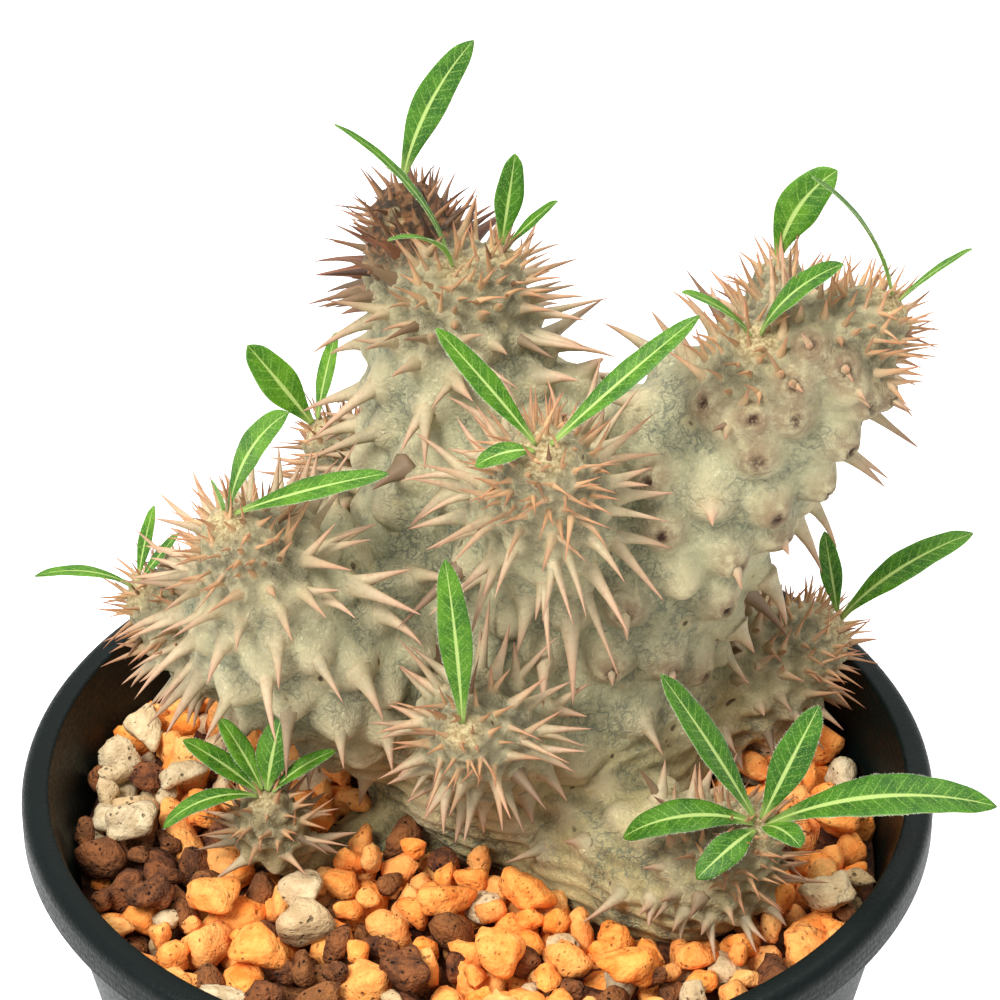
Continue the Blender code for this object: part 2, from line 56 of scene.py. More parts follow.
pot_low, pot_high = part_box("pot")
RIM_RADIUS = (pot_high.x - pot_low.x) / 2
RIM_HEIGHT = pot_high.z
RIM_WIDTH = 3.7 * MM
RIM_DEPTH = 5.6 * MM
RIM_ROUND = 1.8 * MM
EDGE_ROUND = 0.6 * MM
FOOT_RADIUS = 37 * MM
WALL = 1.7 * MM
FLOOR = 2.4 * MM
FOOT_RING_WIDTH = 8 * MM
CENTRE_PAD_RADIUS = 15 * MM
CHANNEL_DEPTH = 2 * MM
DRAIN_RADIUS = 3.5 * MM
DRAIN_COUNT = 6
DRAIN_SIDES = 24
DRAIN_TWIST = 0.37  # of a side, so that no corner meets the pot's own spokes
DRAIN_REACH = (-2 * MM, 12 * MM)
NOTCH_WIDTH = 6 * MM
POT_SEGMENTS = 180
MOUTH_RADIUS = RIM_RADIUS - RIM_WIDTH
HEADSPACE = 10 * MM
MIX_LEVEL = RIM_HEIGHT - HEADSPACE

# ---------------------------------------------------------------- the plant's runs

# Each branch is a run of (x, y, z, radius) in millimetres from inside the caudex to its growing tip.
BRANCHES = {
    "trunk": [
        (8, 18, 76, 9),
        (8, 18, 82, 20),
        (8, 18, 91, 25),
        (7, 18, 106, 26),
        (5, 18, 122, 22),
        (3, 19, 134, 17),
    ],
    "left": [
        (-4, 14, 104, 15),
        (-14, 8, 113, 15.5),
        (-24, 1, 123, 13),
        (-27, -4, 133, 9),
        (-29.5, -6.5, 140, 5),
    ],
    "far_left": [(-14, 14, 104, 12), (-28, 11, 111, 9.5), (-37, 9, 116.5, 7), (-41.5, 8, 120.5, 4.5)],
    "back_left": [(-2, 28, 114, 11), (-12, 31, 120, 9), (-17, 32, 126.5, 6.5), (-19.5, 32, 129.5, 4.2)],
    "top_left": [(2, 20, 122, 19), (-1, 21, 138, 13.5), (-2.8, 21, 151, 10.8), (-3.5, 21.5, 158, 8.5)],
    "top_left_back": [(-4.5, 24, 152, 8), (-7.3, 26, 161, 7), (-8.8, 28, 166.5, 5)],
    "top_left_front": [(-3.5, 20, 154, 8), (-3.2, 18.5, 159.5, 6), (-3, 18, 162, 4)],
    "top_left_side": [(-1, 21, 153, 8.5), (1.2, 20.3, 160, 6), (2.2, 20, 163.5, 4)],
    "top_right": [
        (14, 15, 118, 19),
        (24, 11.5, 133, 15),
        (33, 9.5, 145.5, 12.2),
        (40, 8, 154.5, 10),
        (46, 8, 159.5, 7.8),
        (48.7, 8, 162.3, 5.4),
    ],
    "top_right_front": [(33, 9, 147, 9.5), (34.3, 7, 155, 7), (34.6, 5.5, 159, 4.6)],
    "top_right_back": [(39, 11, 154, 7.5), (39, 16, 159, 5.6), (38.6, 18.5, 161.5, 4.2)],
    "centre": [(6, 12, 126, 15), (8, 4, 136, 11), (8.6, -4, 144, 8.6), (8.3, -9, 152, 5.6)],
    "front": [(3, 2, 106, 11), (0.5, -10, 113, 7.5), (-0.8, -16, 117, 6), (-1.2, -18, 118.5, 4)],
    "right_back": [(18, 19, 98, 14), (30, 19.5, 99.5, 10.5), (39, 19, 102, 8.5), (44.7, 19, 106.5, 5.5)],
    "lower_right": [(12, 4, 88, 13), (20, -9, 91.5, 10.5), (29, -17, 96, 8.8), (33.3, -21, 103.5, 5.6)],
    "lower_left": [
        (-6, 8, 84, 8),
        (-19, -3, 86, 4.5),
        (-25, -8, 92, 3.4),
        (-26.8, -11, 98, 4.6),
        (-27, -12, 101.5, 3.6),
    ],
}
BRANCH_ORDER = list(BRANCHES)
NO_CROWN = ("trunk", "top_left")
OLD_CROWN = "top_left_back"
BARE_BRANCH = "top_right"
STEPS_PER_SPAN = 8
TUBE_SIDES = 28
DOME_RINGS = 6
SKIN_VOXEL = 0.62 * MM
SKIN_SMOOTHING = 40
DOWN = np.array((0.0, 0.0, -1.0))

# Thorn cushions: sizes in millimetres, as a start and what is added to it further from a crown
CUSHION_TRIES = 24000
CROWN_PITCH, SHOULDER_PITCH, ARM_PITCH, STOUT_PITCH, TRUNK_PITCH = 1.5, 1.1, 2.4, 1.9, 2.4
BARE_PITCH = 6.6
CROWN_HEIGHT, ARM_HEIGHT, STOUT_HEIGHT = 0.5, 1.1, 1.2
CROWN_WIDTH, ARM_WIDTH, STOUT_WIDTH = 1.2, 1.6, 1.5
BARE_HEIGHT, BARE_WIDTH, BARE_SPREAD = 2.5, 4.1, 0.9
SCARRED_SHARE = 0.75

# Skin relief in millimetres
LUMP_RELIEF, FOLD_RELIEF, WRINKLE_RELIEF, SCAR_DEPTH = 0.3, 0.26, 0.2, 0.8
FOLD_PITCH = 2.6 * MM

# Thorns: lengths and widths in millimetres
CROWN_LENGTH, RING_LENGTH, ARM_LENGTH, TRUNK_LOSS = 4.6, 2.0, 2.2, 1.9
CROWN_GIRTH, RING_GIRTH, ARM_GIRTH, BODY_GIRTH = 0.27, 0.13, 0.3, 0.32
THORN_SIDES = 7
THORN_STATIONS = np.array([-0.2, -0.09, 0.02, 0.14, 0.31, 0.53, 0.77, 0.93])
THORN_TAPER = np.array([1.1, 1.85, 1.62, 1.2, 0.85, 0.56, 0.3, 0.1])

# Leaves
LEAF_STATIONS = 40
LEAF_SIDE_POINTS = 11
LEAF_SKIN = 0.2 * MM
MIDRIB_HEIGHT = 0.3 * MM
HAIR_LENGTH = 0.27 * MM
HAIR_RADIUS = 0.024 * MM
HAIRS_PER_MM = 4.5

# Grit
GRAIN_COUNT = 1300
GRAIN_TRIES = 30
GRAIN_BED = MIX_LEVEL - 5.0 * MM
GRAIN_RADII = (1.7, 2.3, 2.8, 3.4)
GRAIN_SHARES = (0.27, 0.35, 0.26, 0.12)
GRAIN_FACE_STEPS = 4
STONE_FACE_STEPS = 9
STONE_SHARPNESS = 6
STONE_PLANES = 11

# How likely a grain is dark or pale: everywhere, and more in patches of (x, y, spread in mm, the most added)
LATERITE_SHARE = 0.1
LATERITE_PATCHES = [
    (-46, -6, 7, 0.75),
    (-18, -36, 8, 0.7),
    (-4, -44, 7, 0.4),
    (-24, -25, 5, 0.6),
    (30, 40, 14, 0.3),
    (24, -36, 5, 0.5),
    (-10, 48, 12, 0.4),
]
PUMICE_SHARE = 0.09
PUMICE_PATCHES = [(-47, 8, 7, 0.5), (48, -8, 8, 0.3), (20, 46, 10, 0.3)]

# Camera and lamps
CAMERA_DISTANCE = 0.5
CAMERA_PITCH = 33.21
CAMERA_AIM = (2.96 * MM, 0, 141.69 * MM)
CAMERA_LENS = 142.68
LAMP_AIM = (0, 0, 0.12)
SKY_STRENGTH = 0.78
FLOOR_HALF_WIDTH = 3.0

# Noise: the scatter of lattice points that gives each its own value
HASH_AXES = (12.9898, 78.233, 37.719)
HASH_STRETCH = 43758.5453


# ---------------------------------------------------------------- numpy helpers


def ease(value, low, high):
    """0 below low, 1 above high, and 3t^2 - 2t^3 between."""
    t = np.clip((value - low) / (high - low), 0, 1)
    return t * t * (3 - 2 * t)


def unit(vectors):
    """Each vector divided by its own length."""
    return vectors / np.maximum(np.linalg.norm(vectors, axis=-1, keepdims=True), 1e-12)


def value_noise(points, size, seed):
    """Smooth random values from -1 to 1: hashed lattice values a size apart, eased between eight corners."""
    cell = points / size
    whole = np.floor(cell)
    part = cell - whole
    part = part * part * (3 - 2 * part)
    total = np.zeros(len(points))
    for corner in itertools.product((0, 1), repeat=3):
        spot = (whole + corner) @ HASH_AXES + seed
        share = np.prod(np.where(corner, part, 1 - part), axis=1)
        total += share * ((np.sin(spot) * HASH_STRETCH) % 1)
    return 2 * total - 1


def tube_quads(rings, sides, closed=True):
    """Quads between rings: points k and k + 1 of ring i, and the same two of ring i + 1."""
    last = sides if closed else sides - 1
    i, k = np.meshgrid(np.arange(rings - 1), np.arange(last), indexing="ij")
    start = i * sides + k
    beside = i * sides + (k + 1) % sides
    return np.stack((start, beside, beside + sides, start + sides), -1).reshape(-1, 4)


def mesh_of(name, points, faces, smooth=True):
    """A mesh of these points and faces, shaded smooth or flat."""
    mesh = bpy.data.meshes.new(name)
    mesh.from_pydata(points.tolist(), [], [list(map(int, face)) for face in faces])
    mesh.polygons.foreach_set("use_smooth", np.full(len(mesh.polygons), smooth))
    mesh.validate()
    mesh.update()
    return mesh


def place(name, mesh):
    """The mesh (or camera or lamp) as an object of the scene, at the origin."""
    piece = bpy.data.objects.new(name, mesh)
    bpy.context.scene.collection.objects.link(piece)
    return piece


def give(mesh, name, values):
    """A number for each point of the mesh, which a material reads by this name."""
    layer = mesh.attributes.new(name, "FLOAT", "POINT")
    layer.data.foreach_set("value", np.asarray(values, np.float32))


def settled(piece):
    """The piece's mesh with its modifiers worked in. The piece itself is removed."""
    depsgraph = bpy.context.evaluated_depsgraph_get()
    mesh = bpy.data.meshes.new_from_object(piece.evaluated_get(depsgraph))
    bpy.data.objects.remove(piece)
    return mesh


def points_of(mesh):
    """The mesh's points as rows of x, y, z."""
    points = np.empty(len(mesh.vertices) * 3)
    mesh.vertices.foreach_get("co", points)
    return points.reshape(-1, 3)


def normals_of(mesh):
    """The outward unit normal at each point of the mesh."""
    normals = np.empty(len(mesh.vertices) * 3)
    mesh.vertex_normals.foreach_get("vector", normals)
    return normals.reshape(-1, 3)


# ---------------------------------------------------------------- shader helpers


def feed(tree, node, feeds):
    """Gives each input, by its name or number, a value or a link from another node's output."""
    for name, value in feeds.items():
        if isinstance(value, bpy.types.NodeSocket):
            tree.links.new(value, node.inputs[name])
        else:
            node.inputs[name].default_value = value
    return node


def add(tree, kind, feeds=None, **settings):
    """A shader node of this kind with its settings, and its inputs fed."""
    made = tree.nodes.new("ShaderNode" + kind)
    for name, value in settings.items():
        setattr(made, name, value)
    return feed(tree, made, feeds or {})


def calc(tree, operation, first, second=0.0):
    """One step of arithmetic."""
    return add(tree, "Math", {0: first, 1: second}, operation=operation).outputs[0]


def times(tree, first, second):
    """First x second."""
    return calc(tree, "MULTIPLY", first, second)


def plus(tree, first, second):
    """First + second."""
    return calc(tree, "ADD", first, second)


def minus(tree, first, second):
    """First - second."""
    return calc(tree, "SUBTRACT", first, second)


def between(tree, value, low, high, start=0.0, end=1.0):
    """Start below low, end above high, and eased between."""
    feeds = {"Value": value, "From Min": low, "From Max": high, "To Min": start, "To Max": end}
    return add(tree, "MapRange", feeds, interpolation_type="SMOOTHSTEP").outputs["Result"]


def mix(tree, share, first, second):
    """The first colour, the second colour, or what lies between."""
    feeds = {0: share, 6: first, 7: second}
    return add(tree, "Mix", feeds, data_type="RGBA", clamp_factor=True).outputs[2]


def tinted(tree, colour, mask, strength, tone):
    """The colour turned towards a tone where the mask shows, by this strength at most."""
    return mix(tree, times(tree, mask, strength), colour, tone)


def carried(tree, name):
    """The number that the mesh carries at each point under this name."""
    return add(tree, "Attribute", attribute_name=name).outputs["Fac"]


def place_on_piece(tree):
    """The point's own place, in metres."""
    return add(tree, "TexCoord").outputs["Object"]


def clouds(tree, where, size, detail=3.0, roughness=0.55):
    """Soft noise from 0 to 1 whose patches are about this size in metres."""
    feeds = {"Vector": where, "Scale": 1 / size, "Detail": detail, "Roughness": roughness}
    return add(tree, "TexNoise", feeds).outputs["Fac"]


def cracks(tree, where, size, feature="DISTANCE_TO_EDGE"):
    """Distance from the edges (or middles) of a net of cells about this size."""
    return add(tree, "TexVoronoi", {"Vector": where, "Scale": 1 / size}, feature=feature).outputs["Distance"]


def wandering(tree, where, size, reach):
    """The place, pushed about by noise of this size as far as reach, so that a net of cells isn't regular."""
    push = add(tree, "TexNoise", {"Vector": where, "Scale": 1 / size, "Detail": 2.0}).outputs["Color"]
    centred = add(tree, "VectorMath", {0: push, 1: (0.5, 0.5, 0.5)}, operation="SUBTRACT").outputs[0]
    scaled = add(tree, "VectorMath", {0: centred, "Scale": reach}, operation="SCALE").outputs[0]
    return add(tree, "VectorMath", {0: where, 1: scaled}, operation="ADD").outputs[0]


def new_group(name, values, colours):
    """A node group with these number and colour inputs, which puts out a Colour and a Height."""
    group = bpy.data.node_groups.new(name, "ShaderNodeTree")
    for label in values:
        group.interface.new_socket(label, in_out="INPUT", socket_type="NodeSocketFloat")
    for label in colours:
        group.interface.new_socket(label, in_out="INPUT", socket_type="NodeSocketColor")
    group.interface.new_socket("Colour", in_out="OUTPUT", socket_type="NodeSocketColor")
    group.interface.new_socket("Height", in_out="OUTPUT", socket_type="NodeSocketFloat")
    return group, group.nodes.new("NodeGroupInput").outputs, group.nodes.new("NodeGroupOutput")


def use(tree, group, feeds):
    """The outputs of this group, placed in a material with its own values."""
    return add(tree, "Group", feeds, node_tree=group).outputs


def new_material(name):
    """A material with its node tree and its one shader."""
    material = bpy.data.materials.new(name)
    material.use_nodes = True
    return material, material.node_tree, material.node_tree.nodes["Principled BSDF"]


def bump(tree, shader, height, strength, distance):
    """Small relief by this height, at most the distance deep."""
    feeds = {"Height": height, "Strength": strength, "Distance": distance}
    tree.links.new(add(tree, "Bump", feeds).outputs["Normal"], shader.inputs["Normal"])


def rgb(red, green, blue):
    """A linear colour from one given as 0 to 255 display values."""
    display = np.array((red, green, blue)) / 255
    linear = np.where(display > 0.04045, ((display + 0.055) / 1.055) ** 2.4, display / 12.92)
    return (*map(float, linear), 1.0)


# ---------------------------------------------------------------- shared effects


def make_skin_mottle():
    """Living skin: patches of two tones and a mesh of fine wrinkles, strongest where the skin is grey."""
    tree, given, wanted = new_group("skin_mottle", ("Crack Strength",), ("Pale", "Deep", "Crack"))
    where = place_on_piece(tree)
    strength = given["Crack Strength"]
    patches = between(tree, clouds(tree, where, 5 * MM, 4.0), 0.36, 0.64)
    fine = between(tree, clouds(tree, where, 0.55 * MM, 5.0, 0.75), 0.34, 0.66)
    tone = plus(tree, times(tree, patches, 0.6), times(tree, fine, 0.4))
    colour = mix(tree, tone, given["Deep"], given["Pale"])
    loose = wandering(tree, where, 0.9 * MM, 0.7 * MM)
    wide = calc(tree, "ABSOLUTE", minus(tree, clouds(tree, loose, 2.3 * MM, 2.0), 0.5))
    tight = calc(tree, "ABSOLUTE", minus(tree, clouds(tree, loose, 0.95 * MM, 2.0), 0.5))
    wide_lines = between(tree, wide, 0.005, 0.05, 1.0, 0.0)
    tight_lines = between(tree, tight, 0.0, 0.07, 0.65, 0.0)
    lines = calc(tree, "MAXIMUM", wide_lines, tight_lines)
    grey = between(tree, clouds(tree, where, 6 * MM, 3.0), 0.42, 0.6, 0.2, 1.0)
    shown = times(tree, times(tree, lines, grey), strength)
    washed = tinted(tree, colour, grey, times(tree, strength, 0.4), given["Crack"])
    crazed = mix(tree, shown, washed, given["Crack"])
    height = minus(tree, fine, times(tree, shown, 1.3))
    feed(tree, wanted, {"Colour": crazed, "Height": height})
    return tree


def make_porous_stone():
    """Baked or volcanic grit: mottled between two colours, with pits sunk into it, whose dark colour is painted
    shade.
    """
    tree, given, wanted = new_group("porous_stone", ("Pits", "Pit Size"), ("Pale", "Deep", "Pit"))
    where = place_on_piece(tree)
    patches = between(tree, clouds(tree, where, 2.4 * MM, 5.0, 0.65), 0.36, 0.66)
    grain = clouds(tree, where, 0.45 * MM, 3.0)
    colour = mix(tree, patches, given["Deep"], given["Pale"])
    scale = calc(tree, "DIVIDE", 1.0, given["Pit Size"])
    loose = wandering(tree, where, 1.0 * MM, 0.7 * MM)
    holes = add(tree, "TexVoronoi", {"Vector": loose, "Scale": scale}, feature="F1").outputs["Distance"]
    pits = between(tree, holes, 0.14, 0.34, 1.0, 0.0)
    some = between(tree, clouds(tree, where, 1.6 * MM), 0.5, 0.6)
    sunk = times(tree, times(tree, pits, some), given["Pits"])
    lumps = clouds(tree, where, 1.3 * MM, 2.0)
    raised = plus(tree, times(tree, grain, 0.45), lumps)
    # Painted shade: the pits are darkened towards the Pit colour as well as sunk in the height.
    feed(tree, wanted, {"Colour": mix(tree, sunk, colour, given["Pit"]), "Height": minus(tree, raised, sunk)})
    return tree


SKIN_MOTTLE = make_skin_mottle()
POROUS_STONE = make_porous_stone()


# ---------------------------------------------------------------- materials


def make_skin_material():
    """Grey-green skin, paler on cushions and low down, woolly in a crown, dark in scars and an old crown, with
    painted shade between the cushions near the crowns and in the fold troughs.
    """
    material, tree, shader = new_material("bark")
    where = place_on_piece(tree)
    low = carried(tree, "low")
    young = carried(tree, "crown")
    cushion = carried(tree, "cushion")
    pale = mix(tree, low, rgb(221, 213, 169), rgb(236, 218, 158))
    deep = mix(tree, low, rgb(175, 170, 131), rgb(194, 175, 117))
    feeds = {"Pale": pale, "Deep": deep, "Crack": rgb(112, 118, 98), "Crack Strength": 0.85}
    skin = use(tree, SKIN_MOTTLE, feeds)
    colour = tinted(tree, skin["Colour"], cushion, 0.75, rgb(218, 201, 158))
    # Painted shade: the skin is darkened between the cushions near the crowns, where shade falls.
    colour = tinted(tree, colour, carried(tree, "painted_crevice_shade"), 0.55, rgb(104, 88, 60))

    tufts = between(tree, clouds(tree, where, 0.5 * MM), 0.35, 0.65)
    wool = mix(tree, tufts, rgb(170, 140, 92), rgb(226, 208, 156))
    colour = tinted(tree, colour, young, 0.9, wool)

    stains = between(tree, clouds(tree, where, 1.8 * MM), 0.3, 0.6)
    brown = times(tree, carried(tree, "browned"), stains)
    colour = tinted(tree, colour, brown, 0.75, rgb(132, 100, 72))
    torn = between(tree, clouds(tree, where, 0.6 * MM), 0.3, 0.5)
    colour = mix(tree, times(tree, carried(tree, "scar"), torn), colour, rgb(66, 40, 28))
    flakes = between(tree, clouds(tree, where, 1.3 * MM, 4.0), 0.42, 0.66)
    aged = mix(tree, flakes, rgb(44, 24, 13), rgb(146, 96, 56))
    colour = tinted(tree, colour, carried(tree, "old"), 0.92, aged)
    # Painted shade: the troughs of the folds low on the stem are darkened.
    colour = tinted(tree, colour, carried(tree, "painted_fold_shade"), 0.5, rgb(112, 96, 62))

    spots = cracks(tree, wandering(tree, where, 4 * MM, 3 * MM), 5.5 * MM, "F1")
    plain = minus(tree, 1.0, calc(tree, "MAXIMUM", cushion, young))
    ring = times(tree, between(tree, spots, 0.16, 0.24, 0.5, 0.0), plain)
    hole = times(tree, between(tree, spots, 0.06, 0.1, 0.85, 0.0), plain)
    ringed = mix(tree, ring, colour, rgb(206, 190, 140))
    feeds = {
        "Base Color": mix(tree, hole, ringed, rgb(70, 52, 34)),
        "Roughness": 0.62,
        "Specular IOR Level": 0.35,
        "Subsurface Weight": 0.06,
        "Subsurface Radius": (1.0, 0.6, 0.3),
        "Subsurface Scale": 1.0 * MM,
    }
    feed(tree, shader, feeds)
    bump(tree, shader, minus(tree, skin["Height"], hole), 0.78, 0.32 * MM)
    return material


def make_thorn_material():
    """Thorns like skin at the foot, tan along, red-brown at the point and in a crown, dark on an old one."""
    material, tree, shader = new_material("thorn")
    where = place_on_piece(tree)
    along = carried(tree, "along")
    tone = carried(tree, "tone")
    young = carried(tree, "crown")
    old = carried(tree, "old")
    feeds = {
        "Pale": rgb(190, 172, 134),
        "Deep": rgb(156, 144, 108),
        "Crack": rgb(120, 120, 100),
        "Crack Strength": 0.35,
    }
    skin = use(tree, SKIN_MOTTLE, feeds)
    middle = mix(tree, tone, rgb(172, 144, 112), rgb(190, 168, 134))
    point = mix(tree, tone, rgb(150, 106, 80), rgb(184, 144, 114))
    middle = mix(tree, young, middle, mix(tree, tone, rgb(166, 114, 78), rgb(202, 162, 116)))
    point = mix(tree, young, point, mix(tree, tone, rgb(128, 74, 48), rgb(178, 118, 80)))
    spread = plus(tree, along, times(tree, minus(tree, tone, 0.5), 0.3))
    foot_share = minus(tree, between(tree, spread, 0.1, 0.62, 1.0, 0.0), times(tree, young, 0.55))
    colour = mix(tree, between(tree, spread, 0.35, 1.0), middle, point)
    colour = mix(tree, foot_share, colour, skin["Colour"])
    streaks = between(tree, clouds(tree, where, 0.7 * MM, 4.0), 0.5, 0.72, 0.0, 0.4)
    colour = mix(tree, streaks, colour, rgb(150, 112, 84))
    dead = between(tree, tone, 0.03, 0.07, 0.75, 0.0)
    colour = mix(tree, dead, colour, rgb(100, 72, 50))
    colour = mix(tree, old, colour, mix(tree, tone, rgb(50, 28, 18), rgb(118, 70, 44)))
    feed(tree, shader, {"Base Color": colour, "Roughness": 0.5, "Specular IOR Level": 0.4})
    bump(tree, shader, skin["Height"], 0.3, 0.12 * MM)
    return material


def make_leaf_material():
    """Green blade with a pale midrib, faint side veins, a downy surface and a pale hairy margin."""
    material, tree, shader = new_material("leaf_green")
    across = calc(tree, "ABSOLUTE", carried(tree, "across"))
    along = carried(tree, "along")
    run = carried(tree, "run")
    under = carried(tree, "under")
    hair = carried(tree, "hair")
    tone = carried(tree, "tone")
    where = place_on_piece(tree)
    deep = mix(tree, tone, rgb(32, 74, 14), rgb(50, 96, 16))
    fresh = mix(tree, tone, rgb(54, 100, 18), rgb(88, 132, 26))
    blade = mix(tree, between(tree, clouds(tree, where, 3 * MM, 3.0), 0.3, 0.7), deep, fresh)
    slant = minus(tree, run, times(tree, across, 2.2))
    wave = calc(tree, "SINE", times(tree, slant, 2 * math.pi / 1.5))
    veins = times(tree, between(tree, wave, 0.82, 1.0), between(tree, across, 0.1, 0.9, 0.42, 0.1))
    blade = mix(tree, veins, blade, rgb(132, 168, 72))
    blade = tinted(tree, blade, under, 0.45, rgb(118, 152, 74))
    width = between(tree, along, 0.0, 1.0, 0.16, 0.045)
    rib = between(tree, minus(tree, across, width), -0.05, 0.03, 1.0, 0.0)
    blade = tinted(tree, blade, rib, 0.85, rgb(170, 190, 110))
    stalk = between(tree, along, 0.04, 0.2, 0.6, 0.0)
    blade = mix(tree, stalk, blade, rgb(150, 168, 92))
    down = between(tree, cracks(tree, where, 0.3 * MM, "F1"), 0.12, 0.48, 0.3, 0.0)
    blade = mix(tree, down, blade, rgb(150, 184, 92))
    blade = mix(tree, between(tree, across, 0.95, 1.0, 0.0, 0.6), blade, rgb(184, 200, 150))
    feeds = {
        "Base Color": mix(tree, hair, blade, rgb(236, 238, 214)),
        "Roughness": 0.5,
        "Specular IOR Level": 0.22,
        "Subsurface Weight": 0.12,
        "Subsurface Radius": (0.5, 1.0, 0.2),
        "Subsurface Scale": 0.8 * MM,
    }
    feed(tree, shader, feeds)
    bump(tree, shader, minus(tree, times(tree, down, 1.4), veins), 0.4, 0.12 * MM)
    return material


def make_stone_material(name, pale, deep, pit_shade, shade, pits, pit_size, relief):
    """Grit of one kind. Each grain's own tone shifts it between its colours and a darker shade."""
    material, tree, shader = new_material(name)
    tone = carried(tree, "tone")
    own_pale = mix(tree, tone, pale, shade)
    own_deep = mix(tree, tone, deep, mix(tree, 0.6, deep, shade))
    # The pit colour is painted shade in the pits.
    feeds = {"Pale": own_pale, "Deep": own_deep, "Pit": pit_shade, "Pits": pits, "Pit Size": pit_size}
    stone = use(tree, POROUS_STONE, feeds)
    feed(tree, shader, {"Base Color": stone["Colour"], "Roughness": 0.88, "Specular IOR Level": 0.25})
    bump(tree, shader, stone["Height"], 0.85, relief)
    return material


def make_pot_material():
    """Moulded black-green plastic: fine matte grain, faint turning lines, a little dust on the rim."""
    material, tree, shader = new_material("black_plastic")
    where = place_on_piece(tree)
    grain = clouds(tree, where, 0.5 * MM, 2.0)
    dust = between(tree, clouds(tree, where, 6 * MM, 6.0, 0.7), 0.52, 0.78, 0.0, 0.22)
    height = add(tree, "SeparateXYZ", {0: where}).outputs["Z"]
    lines = calc(tree, "SINE", times(tree, height, 2 * math.pi / (1.1 * MM)))
    feeds = {
        "Base Color": mix(tree, dust, rgb(2, 12, 10), rgb(14, 30, 26)),
        "Roughness": between(tree, grain, 0.3, 0.7, 0.4, 0.56),
        "Specular IOR Level": 0.15,
    }
    feed(tree, shader, feeds)
    bump(tree, shader, plus(tree, grain, times(tree, lines, 0.1)), 0.6, 0.14 * MM)
    return material


SKIN = make_skin_material()
THORN = make_thorn_material()
LEAF = make_leaf_material()
PLASTIC = make_pot_material()

# Each grit's pale, deep, pit and shade colours, how many pits, their size and the relief. The pit colour is
# painted shade in the pits.
GRIT = {
    "akadama": (
        rgb(254, 168, 80),
        rgb(240, 130, 46),
        rgb(136, 70, 28),
        rgb(244, 186, 112),
        0.6,
        0.9 * MM,
        0.6 * MM,
    ),
    "laterite": (
        rgb(138, 82, 46),
        rgb(68, 40, 27),
        rgb(24, 14, 10),
        rgb(150, 96, 52),
        1.0,
        0.8 * MM,
        1.3 * MM,
    ),
    "pumice": (
        rgb(218, 200, 162),
        rgb(184, 160, 122),
        rgb(80, 62, 42),
        rgb(206, 164, 108),
        0.8,
        1.0 * MM,
        0.6 * MM,
    ),
}
STONE_MATERIALS = {kind: make_stone_material(kind, *looks) for kind, looks in GRIT.items()}
# The fill's colours in the same order; its pit colour is painted shade in the pits too.
FILL = make_stone_material(
    "potting_mix",
    rgb(110, 64, 36),
    rgb(56, 32, 20),
    rgb(20, 11, 8),
    rgb(80, 48, 28),
    0.8,
    1.2 * MM,
    0.6 * MM,
)


# ---------------------------------------------------------------- pot


def inner_radius(z):
    """Inside radius of the tapered wall at height z: straight from the floor to the mouth."""
    foot_inside = FOOT_RADIUS - WALL
    return foot_inside + (MOUTH_RADIUS - foot_inside) * (z - FLOOR) / (RIM_HEIGHT - FLOOR)


def arc(centre_r, centre_z, radius, start, end, count):
    """Points at centre + radius (cos a, sin a), for count + 1 angles from start to end in degrees."""
    angle = np.linspace(start, end, count + 1) * DEG
    return np.stack((centre_r + radius * np.cos(angle), centre_z + radius * np.sin(angle)), -1)


def pot_section():
    """Half section (radius, height): up the inside, over the rim, down the outside and across the foot."""
    floor_top = FLOOR + CHANNEL_DEPTH
    skirt = RIM_HEIGHT - RIM_DEPTH
    ring_inside = FOOT_RADIUS - FOOT_RING_WIDTH
    wall_heights = np.linspace(floor_top + 1.5 * MM, RIM_HEIGHT - 2 * MM, 14)
    inside = np.stack((inner_radius(wall_heights), wall_heights), -1)
    outside = np.stack((inner_radius(wall_heights[::-1]) + WALL, wall_heights[::-1]), -1)
    outside = outside[outside[:, 1] < skirt - 0.5 * MM]
    corner = inner_radius(floor_top) - 1.2 * MM
    return np.concatenate(
        (
            [(corner / 2, floor_top)],
            arc(corner, floor_top + 1.2 * MM, 1.2 * MM, -90, -8, 4),
            inside,
            arc(MOUTH_RADIUS + EDGE_ROUND, RIM_HEIGHT - EDGE_ROUND, EDGE_ROUND, 180, 95, 5),
            arc(RIM_RADIUS - RIM_ROUND, RIM_HEIGHT - RIM_ROUND, RIM_ROUND, 88, 2, 9),
            arc(RIM_RADIUS - EDGE_ROUND, skirt + EDGE_ROUND, EDGE_ROUND, 0, -90, 5),
            [(inner_radius(skirt) + WALL + 0.3 * MM, skirt), (inner_radius(skirt) + WALL, skirt - 0.3 * MM)],
            outside,
            arc(FOOT_RADIUS - EDGE_ROUND, EDGE_ROUND, EDGE_ROUND, 0, -90, 4),
            arc(ring_inside + 0.4 * MM, 0.4 * MM, 0.4 * MM, -90, -180, 3),
            [(ring_inside, CHANNEL_DEPTH), (CENTRE_PAD_RADIUS, CHANNEL_DEPTH)],
            arc(CENTRE_PAD_RADIUS - 0.4 * MM, 0.4 * MM, 0.4 * MM, 0, -90, 3),
        )
    )


def turned(section, segments):
    """The section turned about Z: (r cos a, r sin a, z), and both ends closed by a fan to the axis."""
    angle = np.arange(segments) * 2 * math.pi / segments
    radius = section[:, None, 0]
    points = np.stack((radius * np.cos(angle), radius * np.sin(angle), section[:, None, 1] + 0 * angle), -1)
    points = points.reshape(-1, 3)
    faces = tube_quads(len(section), segments)[:, ::-1].tolist()
    around = np.arange(segments)
    beyond = (around + 1) % segments
    poles = len(points)
    last = (len(section) - 1) * segments
    faces += np.stack((around, beyond, np.full(segments, poles)), -1).tolist()
    faces += np.stack((last + beyond, last + around, np.full(segments, poles + 1)), -1).tolist()
    ends = [(0, 0, section[0, 1]), (0, 0, section[-1, 1])]
    return np.concatenate((points, ends)), faces


